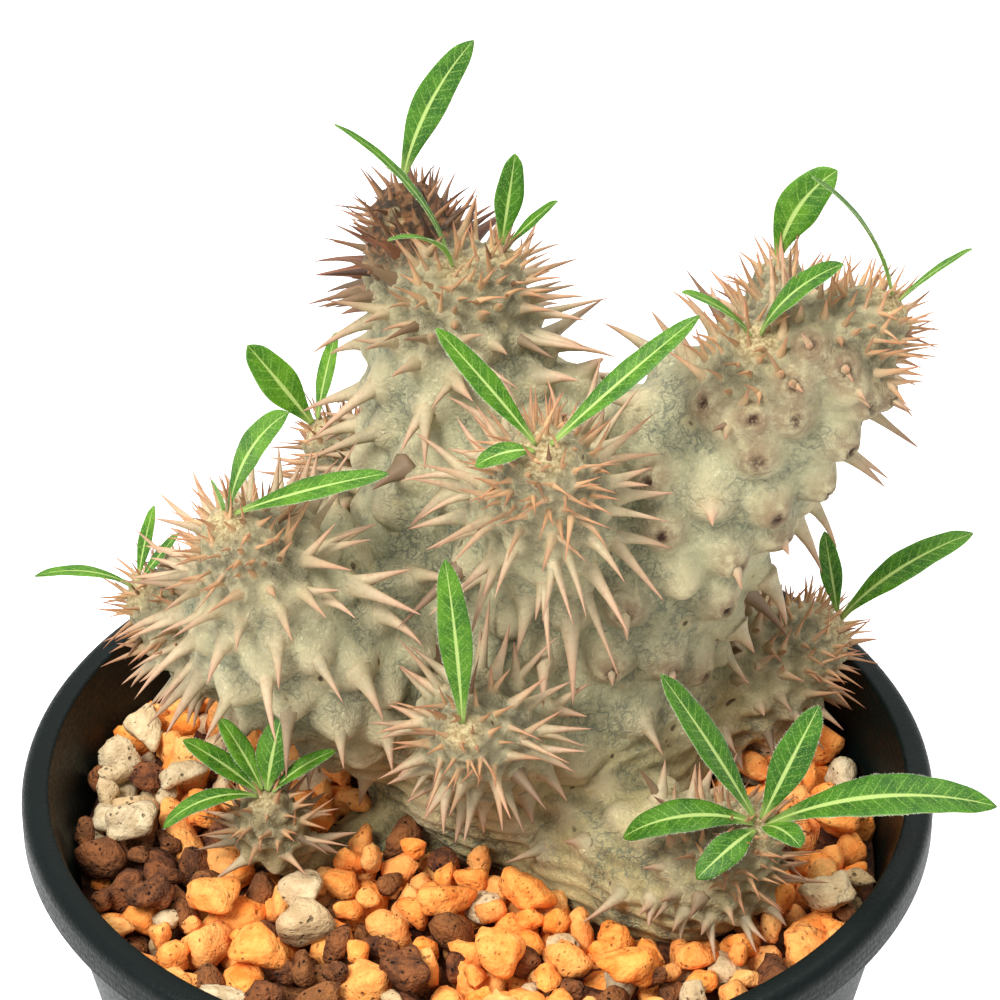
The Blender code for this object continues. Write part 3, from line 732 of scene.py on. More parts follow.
def drain_cutters():
    """Round drains through the channel and square notches through the foot ring, as one closed mesh."""
    channel = (CENTRE_PAD_RADIUS + FOOT_RADIUS - FOOT_RING_WIDTH) / 2
    points, faces = [], []
    corners = np.array(list(itertools.product((-1, 1), repeat=3)), float)
    box = np.array([(0, 1, 3, 2), (4, 6, 7, 5), (0, 4, 5, 1), (2, 3, 7, 6), (0, 2, 6, 4), (1, 5, 7, 3)])
    notch = corners * (FOOT_RING_WIDTH, NOTCH_WIDTH / 2, 0.8 * CHANNEL_DEPTH)
    notch += (FOOT_RADIUS - FOOT_RING_WIDTH / 2, 0, 0)
    sides = DRAIN_SIDES
    circle = (np.arange(sides) + DRAIN_TWIST) * 2 * math.pi / sides
    for number in range(DRAIN_COUNT):
        half_turn = 2 * math.pi * (number + 0.5) / DRAIN_COUNT
        centre = channel * np.array((math.cos(half_turn), math.sin(half_turn)))
        ring = centre + DRAIN_RADIUS * np.stack((np.cos(circle), np.sin(circle)), -1)
        start = sum(map(len, points))
        points.append(np.concatenate([np.c_[ring, np.full(sides, z)] for z in DRAIN_REACH]))
        faces += (tube_quads(2, sides) + start).tolist()
        faces += [list(range(start, start + sides))[::-1], list(range(start + sides, start + 2 * sides))]
        turn = 2 * math.pi * number / DRAIN_COUNT
        cosine, sine = math.cos(turn), math.sin(turn)
        start = sum(map(len, points))
        points.append(notch @ np.array([(cosine, sine, 0), (-sine, cosine, 0), (0, 0, 1)]))
        faces += (box + start).tolist()
    return place("drain_cutters", mesh_of("drain_cutters", np.concatenate(points), faces, False))


def make_pot():
    """The turned pot with its drains and notches cut out."""
    points, faces = turned(pot_section(), POT_SEGMENTS)
    body = place("pot_body", mesh_of("pot_body", points, faces))
    cutters = drain_cutters()
    drains = body.modifiers.new("drains", "BOOLEAN")
    drains.operation = "DIFFERENCE"
    drains.solver = "EXACT"
    drains.object = cutters
    mesh = settled(body)
    bpy.data.objects.remove(cutters)
    pot = place("nursery_pot", mesh)
    pot.data.materials.clear()
    pot.data.materials.append(PLASTIC)
    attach(pot, "root")
    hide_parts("pot")
    return pot


# ---------------------------------------------------------------- branches


def smooth_run(run):
    """(x, y, z, r) in metres along a Catmull-Rom curve through the run's points, some to each span."""
    known = np.array(run, float) * MM
    padded = np.concatenate((known[:1], known, known[-1:]))
    before, start, end, after = (padded[i : len(padded) - 3 + i, None] for i in range(4))
    t = (np.arange(STEPS_PER_SPAN) / STEPS_PER_SPAN)[None, :, None]
    curve = (
        before * (-t + 2 * t**2 - t**3)
        + start * (2 - 5 * t**2 + 3 * t**3)
        + end * (t + 4 * t**2 - 3 * t**3)
        + after * (t**3 - t**2)
    ) / 2
    return np.concatenate((curve.reshape(-1, 4), known[-1:]))


def directions(path):
    """The unit step from each point's neighbour before to its neighbour after."""
    centres = path[:, :3]
    return unit(np.gradient(centres, axis=0))


PATHS = {name: smooth_run(run) for name, run in BRANCHES.items()}
CROWNS = {name: path for name, path in PATHS.items() if name not in NO_CROWN}


def branch_tube(path):
    """A closed tube: rings of centre + r (u cos a + v sin a), with a dome of the end radius at each end."""
    ahead = directions(path)
    polar = np.linspace(80, 10, DOME_RINGS) * DEG
    first, last = path[0], path[-1]
    start_cap = first[:3] - ahead[0] * np.sin(polar)[:, None] * first[3]
    end_cap = last[:3] + ahead[-1] * np.sin(polar[::-1])[:, None] * last[3]
    centres = np.concatenate((start_cap, path[:, :3], end_cap))
    radii = np.concatenate((first[3] * np.cos(polar), path[:, 3], last[3] * np.cos(polar[::-1])))
    at_start, at_end = np.tile(ahead[0], (DOME_RINGS, 1)), np.tile(ahead[-1], (DOME_RINGS, 1))
    forward = np.concatenate((at_start, ahead, at_end))
    side = np.eye(3)[np.argmin(np.abs(ahead.mean(axis=0)))]
    u = unit(np.cross(forward, side))
    v = np.cross(forward, u)
    angle = (np.arange(TUBE_SIDES) * 2 * math.pi / TUBE_SIDES)[None, :, None]
    spokes = u[:, None] * np.cos(angle) + v[:, None] * np.sin(angle)
    rings = centres[:, None] + radii[:, None, None] * spokes
    points = rings.reshape(-1, 3)
    faces = tube_quads(len(centres), TUBE_SIDES).tolist()
    faces += [list(range(TUBE_SIDES))[::-1], list(range(len(points) - TUBE_SIDES, len(points)))]
    return points, faces


def joined_skin():
    """All branch tubes fused by a fine voxel remesh and smoothed so that they flow into each other."""
    points, faces = [], []
    for path in PATHS.values():
        tube, quads = branch_tube(path)
        start = sum(map(len, points))
        points.append(tube)
        faces += [[start + i for i in quad] for quad in quads]
    rough = place("rough_skin", mesh_of("rough_skin", np.concatenate(points), faces))
    joined = rough.modifiers.new("joined", "REMESH")
    joined.mode = "VOXEL"
    joined.voxel_size = SKIN_VOXEL
    flowing = rough.modifiers.new("flowing", "SMOOTH")
    flowing.factor = 0.5
    flowing.iterations = SKIN_SMOOTHING
    return settled(rough)


def nearest_branch(points):
    """The branch whose surface lies nearest to each point: its radius and direction there, and its number."""
    best = np.full(len(points), np.inf)
    radius = np.zeros(len(points))
    ahead = np.zeros((len(points), 3))
    index = np.zeros(len(points), int)
    for number, path in enumerate(PATHS.values()):
        gap = np.linalg.norm(points[:, None] - path[None, ::2, :3], axis=-1) - path[None, ::2, 3]
        at = gap.argmin(axis=1)
        gap = gap.min(axis=1)
        closer = gap < best
        best = np.where(closer, gap, best)
        radius = np.where(closer, path[::2, 3][at], radius)
        ahead = np.where(closer[:, None], directions(path)[::2][at], ahead)
        index = np.where(closer, number, index)
    return radius, ahead, index


def tip_distance(points):
    """Distance to the nearest growing tip, less that tip's own radius."""
    tips = np.array([path[-1] for path in CROWNS.values()])
    gaps = np.linalg.norm(points[:, None] - tips[None, :, :3], axis=-1) - tips[None, :, 3]
    return gaps.min(axis=1)


def crown_share(points):
    """1 in the middle of a crown and 0 outside it, by distance from the tip's apex over the tip's radius."""
    ends = np.array([path[-1] for path in CROWNS.values()])
    ahead = np.array([directions(path)[-1] for path in CROWNS.values()])
    apexes = ends[:, :3] + ahead * ends[:, 3:]
    shares = np.linalg.norm(points[:, None] - apexes[None], axis=-1) / ends[None, :, 3]
    return 1 - ease(shares.min(axis=1), 0.3, 0.95)


def clearance(points):
    """Distance from each point to the nearest branch's surface, taken as balls along every path."""
    balls = np.concatenate(list(PATHS.values()))
    return (np.linalg.norm(points[:, None] - balls[None, :, :3], axis=-1) - balls[None, :, 3]).min(axis=1)


# ---------------------------------------------------------------- thorn cushions and thorns


def cushion_sites(points, radius, tips, on_bare, rng):
    """Points of the skin, in random order, each further from those kept before it than its own pitch.

    The pitch grows from the crowns to the thick body, and is wide all over the bare branch.
    """
    further = ARM_PITCH * ease(tips, 4 * MM, 11 * MM)
    pitch = (CROWN_PITCH + SHOULDER_PITCH * ease(tips, 0, 3 * MM) + further) * MM
    pitch += STOUT_PITCH * MM * ease(radius, 11 * MM, 16 * MM) * ease(tips, 6 * MM, 14 * MM)
    pitch += TRUNK_PITCH * MM * ease(radius, 18 * MM, 24 * MM)
    pitch = np.where(on_bare, np.maximum(pitch, BARE_PITCH * MM * ease(tips, 1 * MM, 8 * MM)), pitch)
    allowed = np.flatnonzero(points[:, 2] > MIX_LEVEL + 4 * MM)
    kept = np.empty(0, int)
    for candidate in rng.permutation(allowed)[:CUSHION_TRIES]:
        gaps = np.linalg.norm(points[kept] - points[candidate], axis=1)
        if not len(kept) or (gaps > pitch[candidate]).all():
            kept = np.append(kept, candidate)
    return kept


def survey_cushions(points, normals, tips, rng):
    """Each cushion's site and what shapes it and its thorns, as arrays with one row to a cushion.

    stout is 1 on the thick body, young is 1 in a crown, base is 1 low on the stem, and facing marks the
    front of the bare branch, whose cushions are the largest.
    """
    radius, ahead, branch = nearest_branch(points)
    on_bare = branch == BRANCH_ORDER.index(BARE_BRANCH)
    sites = cushion_sites(points, radius, tips, on_bare, rng)
    count = len(sites)
    normal, forward = normals[sites], ahead[sites]
    stout = ease(radius[sites], 7 * MM, 14 * MM) * ease(tips[sites], 4 * MM, 12 * MM)
    young = 1 - ease(tips[sites], -0.5 * MM, 4.8 * MM)
    base = ease(MIX_LEVEL + 24 * MM - points[sites, 2], 0, 14 * MM) * stout
    facing = on_bare[sites] & (young < 0.3) & (normal[:, 1] < -0.35)
    height = (CROWN_HEIGHT + ARM_HEIGHT * (1 - young) + STOUT_HEIGHT * stout) * MM
    height *= rng.uniform(0.75, 1.25, count)
    bare_height = (BARE_HEIGHT + BARE_SPREAD * rng.random(count)) * MM
    width = (CROWN_WIDTH + ARM_WIDTH * (1 - young) + STOUT_WIDTH * stout) * MM
    width *= rng.uniform(0.85, 1.15, count)
    bare_width = (BARE_WIDTH + BARE_SPREAD * rng.random(count)) * MM
    return {
        "site": sites,
        "tips": tips[sites],
        "branch": branch[sites],
        "forward": forward,
        "lean": unit(normal + 0.35 * stout[:, None] * DOWN + 0.25 * young[:, None] * forward),
        "stout": stout,
        "young": young,
        "base": base,
        "facing": facing,
        "height": np.where(facing, bare_height, height) * (1 - 0.6 * base),
        "width": np.where(facing, bare_width, width),
    }


def raise_cushions(points, cushions):
    """Each site lifts the skin by h (1 - d^2 / w^2)^1.9 along its own lean. Returns the lift and a mask."""
    lift = np.zeros_like(points)
    mask = np.zeros(len(points))
    shapes = (cushions[name] for name in ("site", "height", "width", "lean"))
    for site, height, width, lean in zip(*shapes):
        gap = np.linalg.norm(points - points[site], axis=1)
        near = gap < width
        bell = np.clip(1 - (gap[near] / width) ** 2, 0, 1)
        rise = height * bell**1.9
        taller = rise > np.linalg.norm(lift[near], axis=1)
        spot = np.flatnonzero(near)[taller]
        lift[spot] = rise[taller, None] * lean
        mask[spot] = np.maximum(mask[spot], bell[taller] ** 2)
    return lift, mask


def near_spots(points, spots, full, none):
    """1 nearer than full to any of these spots, 0 further than none from all, and eased between."""
    shares = [1 - ease(np.linalg.norm(points - spot, axis=1), full, none) for spot in spots]
    return np.max([np.zeros(len(points)), *shares], axis=0)


def thorn_mesh(roots, along, bends, lengths, widths, marks):
    """Pointed tapered thorns: ring centre root + L (s along + s^2 bend), ring radius w taper(s)."""
    count, rings, sides = len(roots), len(THORN_STATIONS), THORN_SIDES
    s = THORN_STATIONS[None, :, None]
    reach = lengths[:, None, None]
    centres = roots[:, None] + reach * (s * along[:, None] + s * np.abs(s) * bends[:, None])
    heading = unit(along[:, None] + 2 * np.abs(s) * bends[:, None])
    u = unit(np.cross(heading, np.array((0.31, 0.52, 0.8))))
    v = np.cross(heading, u)
    angle = (np.arange(sides) * 2 * math.pi / sides)[None, None, :, None]
    radius = (widths[:, None] * THORN_TAPER[None])[:, :, None, None]
    body = centres[:, :, None] + radius * (u[:, :, None] * np.cos(angle) + v[:, :, None] * np.sin(angle))
    tips = roots + lengths[:, None] * (along + bends)
    feet = centres[:, 0]
    points = np.concatenate((body.reshape(count, -1, 3), tips[:, None], feet[:, None]), axis=1)
    size = rings * sides + 2
    starts = np.arange(count)[:, None, None] * size
    quads = (tube_quads(rings, sides)[None] + starts).reshape(-1, 4)
    around = np.arange(sides)
    beyond = (around + 1) % sides
    last = (rings - 1) * sides
    point_fan = np.stack((last + around, last + beyond, np.full(sides, size - 2)), -1)
    foot_fan = np.stack((beyond, around, np.full(sides, size - 1)), -1)
    fans = (np.concatenate((point_fan, foot_fan))[None] + starts).reshape(-1, 3)
    mesh = mesh_of("thorns", points.reshape(-1, 3), quads.tolist() + fans.tolist())
    profile = np.concatenate((np.repeat(np.clip(THORN_STATIONS, 0, 1), sides), (1.0, 0.0)))
    give(mesh, "along", np.tile(profile, count))
    for name, values in marks.items():
        give(mesh, name, np.repeat(values, size))
    return mesh


def make_caudex():
    """The skin with its cushions, creases and scars, and every thorn on it.

    Relief in millimetres: 0.3 lumps + 0.26 folds, which go round the foot of the stem, + 0.2 wrinkles
    between the cushions, and a pit in each scar.
    """
    rng = np.random.default_rng(11)
    skin = joined_skin()
    points, normals = points_of(skin), normals_of(skin)
    tips = tip_distance(points)
    cushions = survey_cushions(points, normals, tips, rng)
    lift, cushion = raise_cushions(points, cushions)

    scarred = cushions["facing"] & (rng.random(len(cushions["site"])) < SCARRED_SHARE)
    scars = points[cushions["site"][scarred]]
    scar = near_spots(points, scars, 0.4 * MM, 1.1 * MM)
    low = 1 - ease(points[:, 2], MIX_LEVEL + 6 * MM, MIX_LEVEL + 26 * MM)
    lumps = value_noise(points, 7 * MM, 3.1)
    folds = np.sin(2 * math.pi * (points[:, 2] / FOLD_PITCH + 0.8 * lumps)) * low
    wrinkles = value_noise(points * (1, 1, 1.9), 1.5 * MM, 7.7)
    relief = LUMP_RELIEF * lumps + FOLD_RELIEF * folds + WRINKLE_RELIEF * wrinkles * (1 - cushion)
    relief -= SCAR_DEPTH * scar
    moved = points + lift + normals * (relief * MM)[:, None]
    skin.vertices.foreach_set("co", moved.ravel())
    skin.update()
    skin.polygons.foreach_set("use_smooth", np.full(len(skin.polygons), True))
    marks = {
        "cushion": cushion,
        "low": low,
        # Mask of painted shade in the troughs of the folds.
        "painted_fold_shade": np.clip(-folds, 0, 1) * (1 - cushion),
        "crown": crown_share(points),
        # Mask of painted shade between the cushions near the crowns.
        "painted_crevice_shade": (1 - cushion) * (1 - ease(tips, 3 * MM, 9 * MM)),
        "scar": scar,
        "browned": near_spots(points, scars, 1.0 * MM, 4.0 * MM),
        "old": near_spots(points, PATHS[OLD_CROWN][-1:, :3], 5.5 * MM, 10.5 * MM),
    }
    for name, values in marks.items():
        give(skin, name, values)
    skin.materials.clear()
    skin.materials.append(SKIN)
    body = place("caudex_skin", skin)
    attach(body, "root")
    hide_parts("caudex")

    make_thorns(moved, cushions, rng)


def make_thorns(points, cushions, rng):
    """One or two thorns from each cushion, spread sideways: long on the branches, hooked down on the body."""
    young, stout = cushions["young"], cushions["stout"]
    total = len(young)
    pair = rng.random(total) < np.where(young > 0.5, 0.35, 0.5) * (1 - 0.95 * stout)
    lost = rng.random(total) < 0.85 * cushions["base"]
    lost |= cushions["facing"] & (rng.random(total) < 0.45)
    chosen = np.concatenate((np.flatnonzero(~lost), np.flatnonzero(~lost & pair)))
    side_sign = np.concatenate((np.where(pair[~lost], 1.0, 0.0), np.full((~lost & pair).sum(), -1.0)))
    count = len(chosen)
    own = {name: values[chosen] for name, values in cushions.items()}
    crown, body, lean, forward = own["young"], own["stout"], own["lean"], own["forward"]
    feet = points[own["site"]]

    around = unit(np.cross(lean, forward + 1e-6))
    spread = np.tan(rng.uniform(8, 24, count) * DEG) * side_sign
    wild = rng.normal(0, 0.1, (count, 3)) * (1 + 1.5 * crown)[:, None]
    along = lean + around * spread[:, None] + wild + 0.25 * crown[:, None] * forward
    along = unit(along + 0.1 * body[:, None] * DOWN)
    curl = 0.12 + 0.4 * body
    bends = curl[:, None] * DOWN * rng.uniform(0.3, 1.0, (count, 1)) + rng.normal(0, 0.07, (count, 3))

    ring = ease(own["tips"], -0.5 * MM, 3 * MM)
    on_trunk = own["branch"] == BRANCH_ORDER.index("trunk")
    lengths = CROWN_LENGTH + RING_LENGTH * ring + ARM_LENGTH * (1 - crown) - TRUNK_LOSS * on_trunk
    lengths *= MM * rng.uniform(0.65, 1.3, count)
    lengths = np.where(own["facing"], lengths * rng.uniform(0.25, 0.6, count), lengths)
    lengths *= 1 - 0.35 * own["base"]
    lengths *= 1 - 0.38 * (1 - ease(feet[:, 2] - MIX_LEVEL, 18 * MM, 36 * MM)) * (1 - crown)
    widths = CROWN_GIRTH + RING_GIRTH * ring + ARM_GIRTH * (1 - crown) + BODY_GIRTH * body
    widths *= MM * rng.uniform(0.8, 1.25, count)
    roots = feet - (0.25 * own["height"] + 0.08 * lengths)[:, None] * lean
    old = (own["branch"] == BRANCH_ORDER.index(OLD_CROWN)) * rng.uniform(0.55, 1.0, count)

    ends = roots + lengths[:, None] * (along + bends)
    inside_pot = np.hypot(ends[:, 0], ends[:, 1]) < MOUTH_RADIUS - MM
    sound = (ends[:, 2] > MIX_LEVEL + 2 * MM) & ((ends[:, 2] > RIM_HEIGHT + MM) | inside_pot)
    sound &= clearance(ends) > 1.0 * MM
    marks = {"tone": rng.random(count)[sound], "crown": crown[sound], "old": old[sound]}
    mesh = thorn_mesh(roots[sound], along[sound], bends[sound], lengths[sound], widths[sound], marks)
    mesh.materials.append(THORN)
    thorns = place("caudex_thorns", mesh)
    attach(thorns, "root")
    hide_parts("caudex")


# ---------------------------------------------------------------- leaves


def leaf_sections(node):
    """The CAD leaf's rings of four corners from base to tip: the centre, up way and half width of each."""
    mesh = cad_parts[node].data
    loose = points_of(mesh)
    corners, same = np.unique(np.round(loose, 7), axis=0, return_inverse=True)
    same = same.ravel()
    triangles = np.array([same[list(face.vertices)] for face in mesh.polygons])
    count = len(corners)
    touch = np.eye(count, dtype=int)
    for first, second in ((0, 1), (1, 2), (2, 0)):
        touch[triangles[:, first], triangles[:, second]] = 1
        touch[triangles[:, second], triangles[:, first]] = 1
    hops = np.full((count, count), 99)
    reach = np.eye(count, dtype=int)
    for step in range(count):
        hops = np.where((reach > 0) & (hops == 99), step, hops)
        reach = (reach @ touch > 0).astype(int)
    ends = np.argsort(-hops.mean(axis=1))[:8]
    first_end = ends[hops[ends[0], ends] < 4]
    level = hops[first_end].min(axis=0)
    rings = np.array([corners[level == i] for i in range(level.max() + 1)])
    centres = rings.mean(axis=1)
    arms = rings - centres[:, None]
    middle = len(rings) // 2
    order = np.argsort(-np.linalg.norm(arms[middle], axis=1))
    first_side = arms[middle, order[0]]
    second_side = arms[middle, order[1]]
    first_up = arms[middle, order[2]]
    second_up = arms[middle, order[3]]
    if np.dot(first_side, second_side) > 0 or np.dot(first_up, second_up) > 0:
        raise ValueError(f"{node} has no flat section in its middle")
    sides, ups = np.empty((2, len(rings), 3))
    for way in (range(middle, len(rings)), range(middle, -1, -1)):
        side, up = first_side, first_up
        for i in way:
            side = arms[i, np.argmax(arms[i] @ unit(side))]
            up = arms[i, np.argmax(arms[i] @ unit(up))]
            sides[i], ups[i] = side, up
    halves = np.linalg.norm(sides, axis=1)
    if halves[:3].sum() > halves[-3:].sum():
        centres, sides, ups, halves = centres[::-1], sides[::-1], ups[::-1], halves[::-1]
    curving = np.diff(centres, 2, axis=0).sum(axis=0)
    if np.dot(curving, ups[middle]) > 0:
        ups = -ups
    return centres, unit(ups), halves


def resampled(values, count):
    """The rows at count even places, on a Catmull-Rom curve through them."""
    values = np.asarray(values, float)
    flat = values.reshape(len(values), -1)
    padded = np.concatenate((2 * flat[:1] - flat[1:2], flat, 2 * flat[-1:] - flat[-2:-1]))
    place_at = np.linspace(0, len(flat) - 1, count)
    i = np.minimum(place_at.astype(int), len(flat) - 2)
    t = (place_at - i)[:, None]
    a, b, c, d = padded[i], padded[i + 1], padded[i + 2], padded[i + 3]
    curve = (2 * b + (c - a) * t + (2 * a - 5 * b + 4 * c - d) * t**2 + (3 * b - a - 3 * c + d) * t**3) / 2
    return curve.reshape(count, *values.shape[1:])


def leaf_surface(node, rng):
    """A closed blade over its stations: an upper and a lower sheet that meet at the margins.

    Across the blade u runs from -1 to 1. Its middle sheet stands at w (0.2 |u|^1.4 - 0.12 |u|^6), folded up
    from the midrib and rolled down at the margin, and waves a little. The half width w is the CAD leaf's
    times 0.85 + 0.2 e^-((s - 0.45) / 0.25)^2, rounded off over the last tenth. The rib swells below.
    """
    centres, ups, halves = leaf_sections(node)
    share = np.linspace(0, 1, LEAF_STATIONS)
    centre = resampled(centres, LEAF_STATIONS)
    up = unit(resampled(ups, LEAF_STATIONS))
    half = resampled(halves, LEAF_STATIONS)
    rounding = np.sqrt(np.clip(1 - (np.clip(share - 0.9, 0, 1) / 0.1005) ** 2, 0, 1))
    half *= rounding * 0.9 + 0.1 * (share < 0.98)
    half *= 0.85 + 0.2 * np.exp(-(((share - 0.45) / 0.25) ** 2))
    half = np.maximum(half, 0.12 * MM)
    ahead = unit(np.gradient(centre, axis=0))
    across = np.cross(ahead, up)
    run = np.concatenate(([0], np.cumsum(np.linalg.norm(np.diff(centre, axis=0), axis=1)))) / MM
    u_top = np.sin(np.linspace(-0.5, 0.5, LEAF_SIDE_POINTS) * math.pi)
    u = np.concatenate((u_top, u_top[-2:0:-1]))[None]
    lower = np.concatenate((np.zeros(LEAF_SIDE_POINTS), np.ones(LEAF_SIDE_POINTS - 2)))[None]
    size = np.abs(u)
    w = half[:, None]
    phase = rng.uniform(0, 2 * math.pi, 2)
    wave = np.sin(run[:, None] * 2 * math.pi / 4.5 + np.where(u > 0, phase[0], phase[1])) * size**3
    height = w * (0.2 * size**1.4 - 0.12 * size**6 + 0.02 * wave)
    rib = np.exp(-((u * w / (0.32 * MM)) ** 2)) * (1 - 0.75 * share[:, None])
    thickness = LEAF_SKIN * (1 - 0.75 * size**4)
    top = height + thickness / 2 - 0.35 * MIDRIB_HEIGHT * rib * (1 - lower)
    bottom = height - thickness / 2 - MIDRIB_HEIGHT * rib
    level = np.where(lower > 0, bottom, np.where(size > 0.999, height, top))
    points = centre[:, None] + across[:, None] * (u * w)[..., None] + up[:, None] * level[..., None]
    sides = u.shape[1]
    marks = {
        "across": np.broadcast_to(u, points.shape[:2]),
        "along": np.broadcast_to(share[:, None], points.shape[:2]),
        "run": np.broadcast_to(run[:, None], points.shape[:2]),
        "under": np.broadcast_to(lower, points.shape[:2]),
    }
    margin = {"left": points[:, 0], "right": points[:, LEAF_SIDE_POINTS - 1]}
    return points.reshape(-1, 3), sides, {k: v.ravel() for k, v in marks.items()}, margin, across, up, run


def margin_hairs(edge, outward, up, run, rng):
    """Short hairs out from a margin: three-sided cones that lean towards the tip, thick foot to point."""
    count = int(run[-1] * HAIRS_PER_MM)
    spot = np.sort(rng.uniform(0.06, 1.0, count)) * (len(edge) - 1)
    i = np.minimum(spot.astype(int), len(edge) - 2)
    t = (spot - i)[:, None]
    root = edge[i] * (1 - t) + edge[i + 1] * t
    ahead = unit(edge[i + 1] - edge[i] + 1e-9)
    lifted = up[i] * rng.normal(0.1, 0.35, (count, 1))
    out = unit(outward[i] + 0.5 * ahead + lifted + rng.normal(0, 0.2, (count, 3)))
    length = HAIR_LENGTH * rng.uniform(0.5, 1.2, (count, 1))
    a = unit(np.cross(out, ahead))
    b = np.cross(out, a)
    turn = np.arange(3) * 2 * math.pi / 3
    ring = a[:, None] * np.cos(turn)[None, :, None] + b[:, None] * np.sin(turn)[None, :, None]
    foot = root[:, None] - out[:, None] * 0.05 * MM + ring * HAIR_RADIUS
    points = np.concatenate((foot, (root + out * length)[:, None]), axis=1)
    starts = np.arange(count)[:, None, None] * 4
    sides = np.array([(0, 1, 3), (1, 2, 3), (2, 0, 3), (2, 1, 0)])
    return points.reshape(-1, 3), (sides[None] + starts).reshape(-1, 3)


def make_leaf(node, number):
    """One leaf: its blade and the hairs of both margins, in one mesh that stands for the CAD leaf."""
    rng = np.random.default_rng(100 + number)
    points, sides, marks, margin, across, up, run = leaf_surface(node, rng)
    faces = tube_quads(LEAF_STATIONS, sides).tolist()
    faces += [list(range(sides))[::-1], list(range(len(points) - sides, len(points)))]
    blade_count = len(points)
    hairs = np.zeros(blade_count)
    for edge, way in (("left", -1), ("right", 1)):
        extra, cones = margin_hairs(margin[edge], way * across, up, run, rng)
        faces += (cones + len(points)).tolist()
        points = np.concatenate((points, extra))
        hairs = np.concatenate((hairs, np.ones(len(extra))))
    mesh = mesh_of(node, points, faces)
    padding = np.zeros(len(points) - blade_count)
    for name, values in marks.items():
        give(mesh, name, np.concatenate((values, padding)))
    give(mesh, "hair", hairs)
    give(mesh, "tone", np.full(len(points), rng.random()))
    mesh.materials.append(LEAF)
    leaf = place(node + "_blade", mesh)
    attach(leaf, "root")
    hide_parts(node)


# ---------------------------------------------------------------- grit


def ball_grid(steps):
    """A cube's six faces of steps by steps quads, pushed out to a ball of radius 1 and welded."""
    line = np.tan(np.linspace(-1, 1, steps + 1) * math.pi / 4)
    a, b = np.meshgrid(line, line, indexing="ij")
    one = np.ones_like(a)
    sheets = [(one, a, b), (-one, b, a), (b, one, a), (a, -one, b), (a, b, one), (b, a, -one)]
    points = np.concatenate([np.stack(sheet, -1).reshape(-1, 3) for sheet in sheets])
    quads = tube_quads(steps + 1, steps + 1, closed=False)
    faces = np.concatenate([quads + k * (steps + 1) ** 2 for k in range(6)])
    welded, same = np.unique(np.round(points, 9), axis=0, return_inverse=True)
    faces = same.ravel()[faces]
    corners = welded[faces]
    way = np.cross(corners[:, 1] - corners[:, 0], corners[:, 2] - corners[:, 0])
    inward = (way * corners.mean(axis=1)).sum(axis=1) < 0
    faces[inward] = faces[inward][:, ::-1]
    return unit(welded), faces


def chips(steps, centres, sizes, rng, sharpness=4, planes=14):
    """Worn chips: direction d reaches 1 / (sum over planes n of max(0, n.d / h)^p)^(1/p)."""
    ball, faces = ball_grid(steps)
    count = len(centres)
    plane = unit(rng.normal(size=(count, planes, 3)))
    depth = rng.uniform(0.72, 1.0, (count, planes))
    facing = np.clip(np.einsum("kd,npd->nkp", ball, plane) / depth[:, None], 0, None)
    reach = 1 / np.maximum((facing**sharpness).sum(axis=-1) ** (1 / sharpness), 0.62)
    ripple = 1 + 0.06 * np.sin(5 * ball @ unit(rng.normal(size=(3, 3))) + 5 * plane[:, :1]).sum(axis=-1)
    points = centres[:, None] + ball[None] * (reach * ripple)[..., None] * sizes[:, None]
    starts = np.arange(count)[:, None, None] * len(ball)
    return points.reshape(-1, 3), (faces[None] + starts).reshape(-1, 4), len(ball)


def drop_grains(rng):
    """Grains (x, y, z, r) let fall one by one, each to the lowest free resting place of several at random.

    A grain rests on every grain below it that it overlaps in plan, at z + sqrt((R + r)^2 - d^2).
    """
    grains = np.empty((0, 4))
    for radius in rng.choice(GRAIN_RADII, GRAIN_COUNT, p=GRAIN_SHARES) * MM:
        distance = (MOUTH_RADIUS - 2 * MM - radius) * np.sqrt(rng.uniform(0, 1, GRAIN_TRIES))
        angle = rng.uniform(0, 2 * math.pi, GRAIN_TRIES)
        spots = np.stack((distance * np.cos(angle), distance * np.sin(angle)), -1)
        height = np.full(GRAIN_TRIES, GRAIN_BED + radius * 0.3)
        if len(grains):
            apart = np.linalg.norm(spots[:, None] - grains[None, :, :2], axis=-1)
            sum_of_radii = (grains[:, 3] + radius)[None] * 0.93
            resting = grains[None, :, 2] + np.sqrt(np.clip(sum_of_radii**2 - apart**2, 0, None))
            height = np.maximum(height, np.where(apart < sum_of_radii, resting, -1).max(axis=1))
        whole = np.column_stack((spots, height))
        free = (distance + radius < inner_radius(height) - 0.2 * MM) & (clearance(whole) > 0.75 * radius)
        free &= height + radius < MIX_LEVEL + 3.2 * MM
        if free.any():
            best = np.flatnonzero(free)[height[free].argmin()]
            grains = np.vstack((grains, (*whole[best], radius)))
    return grains


def patched(x, y, everywhere, patches):
    """A thin scatter everywhere, and more round each patch: most e^-(d^2 / 2 spread^2)."""
    share = np.full(len(x), everywhere)
    for patch_x, patch_y, spread, most in patches:
        squared = (x - patch_x * MM) ** 2 + (y - patch_y * MM) ** 2
        share += most * np.exp(-squared / (2 * (spread * MM) ** 2))
    return share


def cad_stones():
    """The loose stones of the CAD model as (node, kind, middle, half size)."""
    found = []
    for kind in STONE_MATERIALS:
        for node in sorted(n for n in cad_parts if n.startswith(kind + "_")):
            low, high = (np.array(corner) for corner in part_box(node))
            found.append((node, kind, (low + high) / 2, (high - low) / 2))
    return found


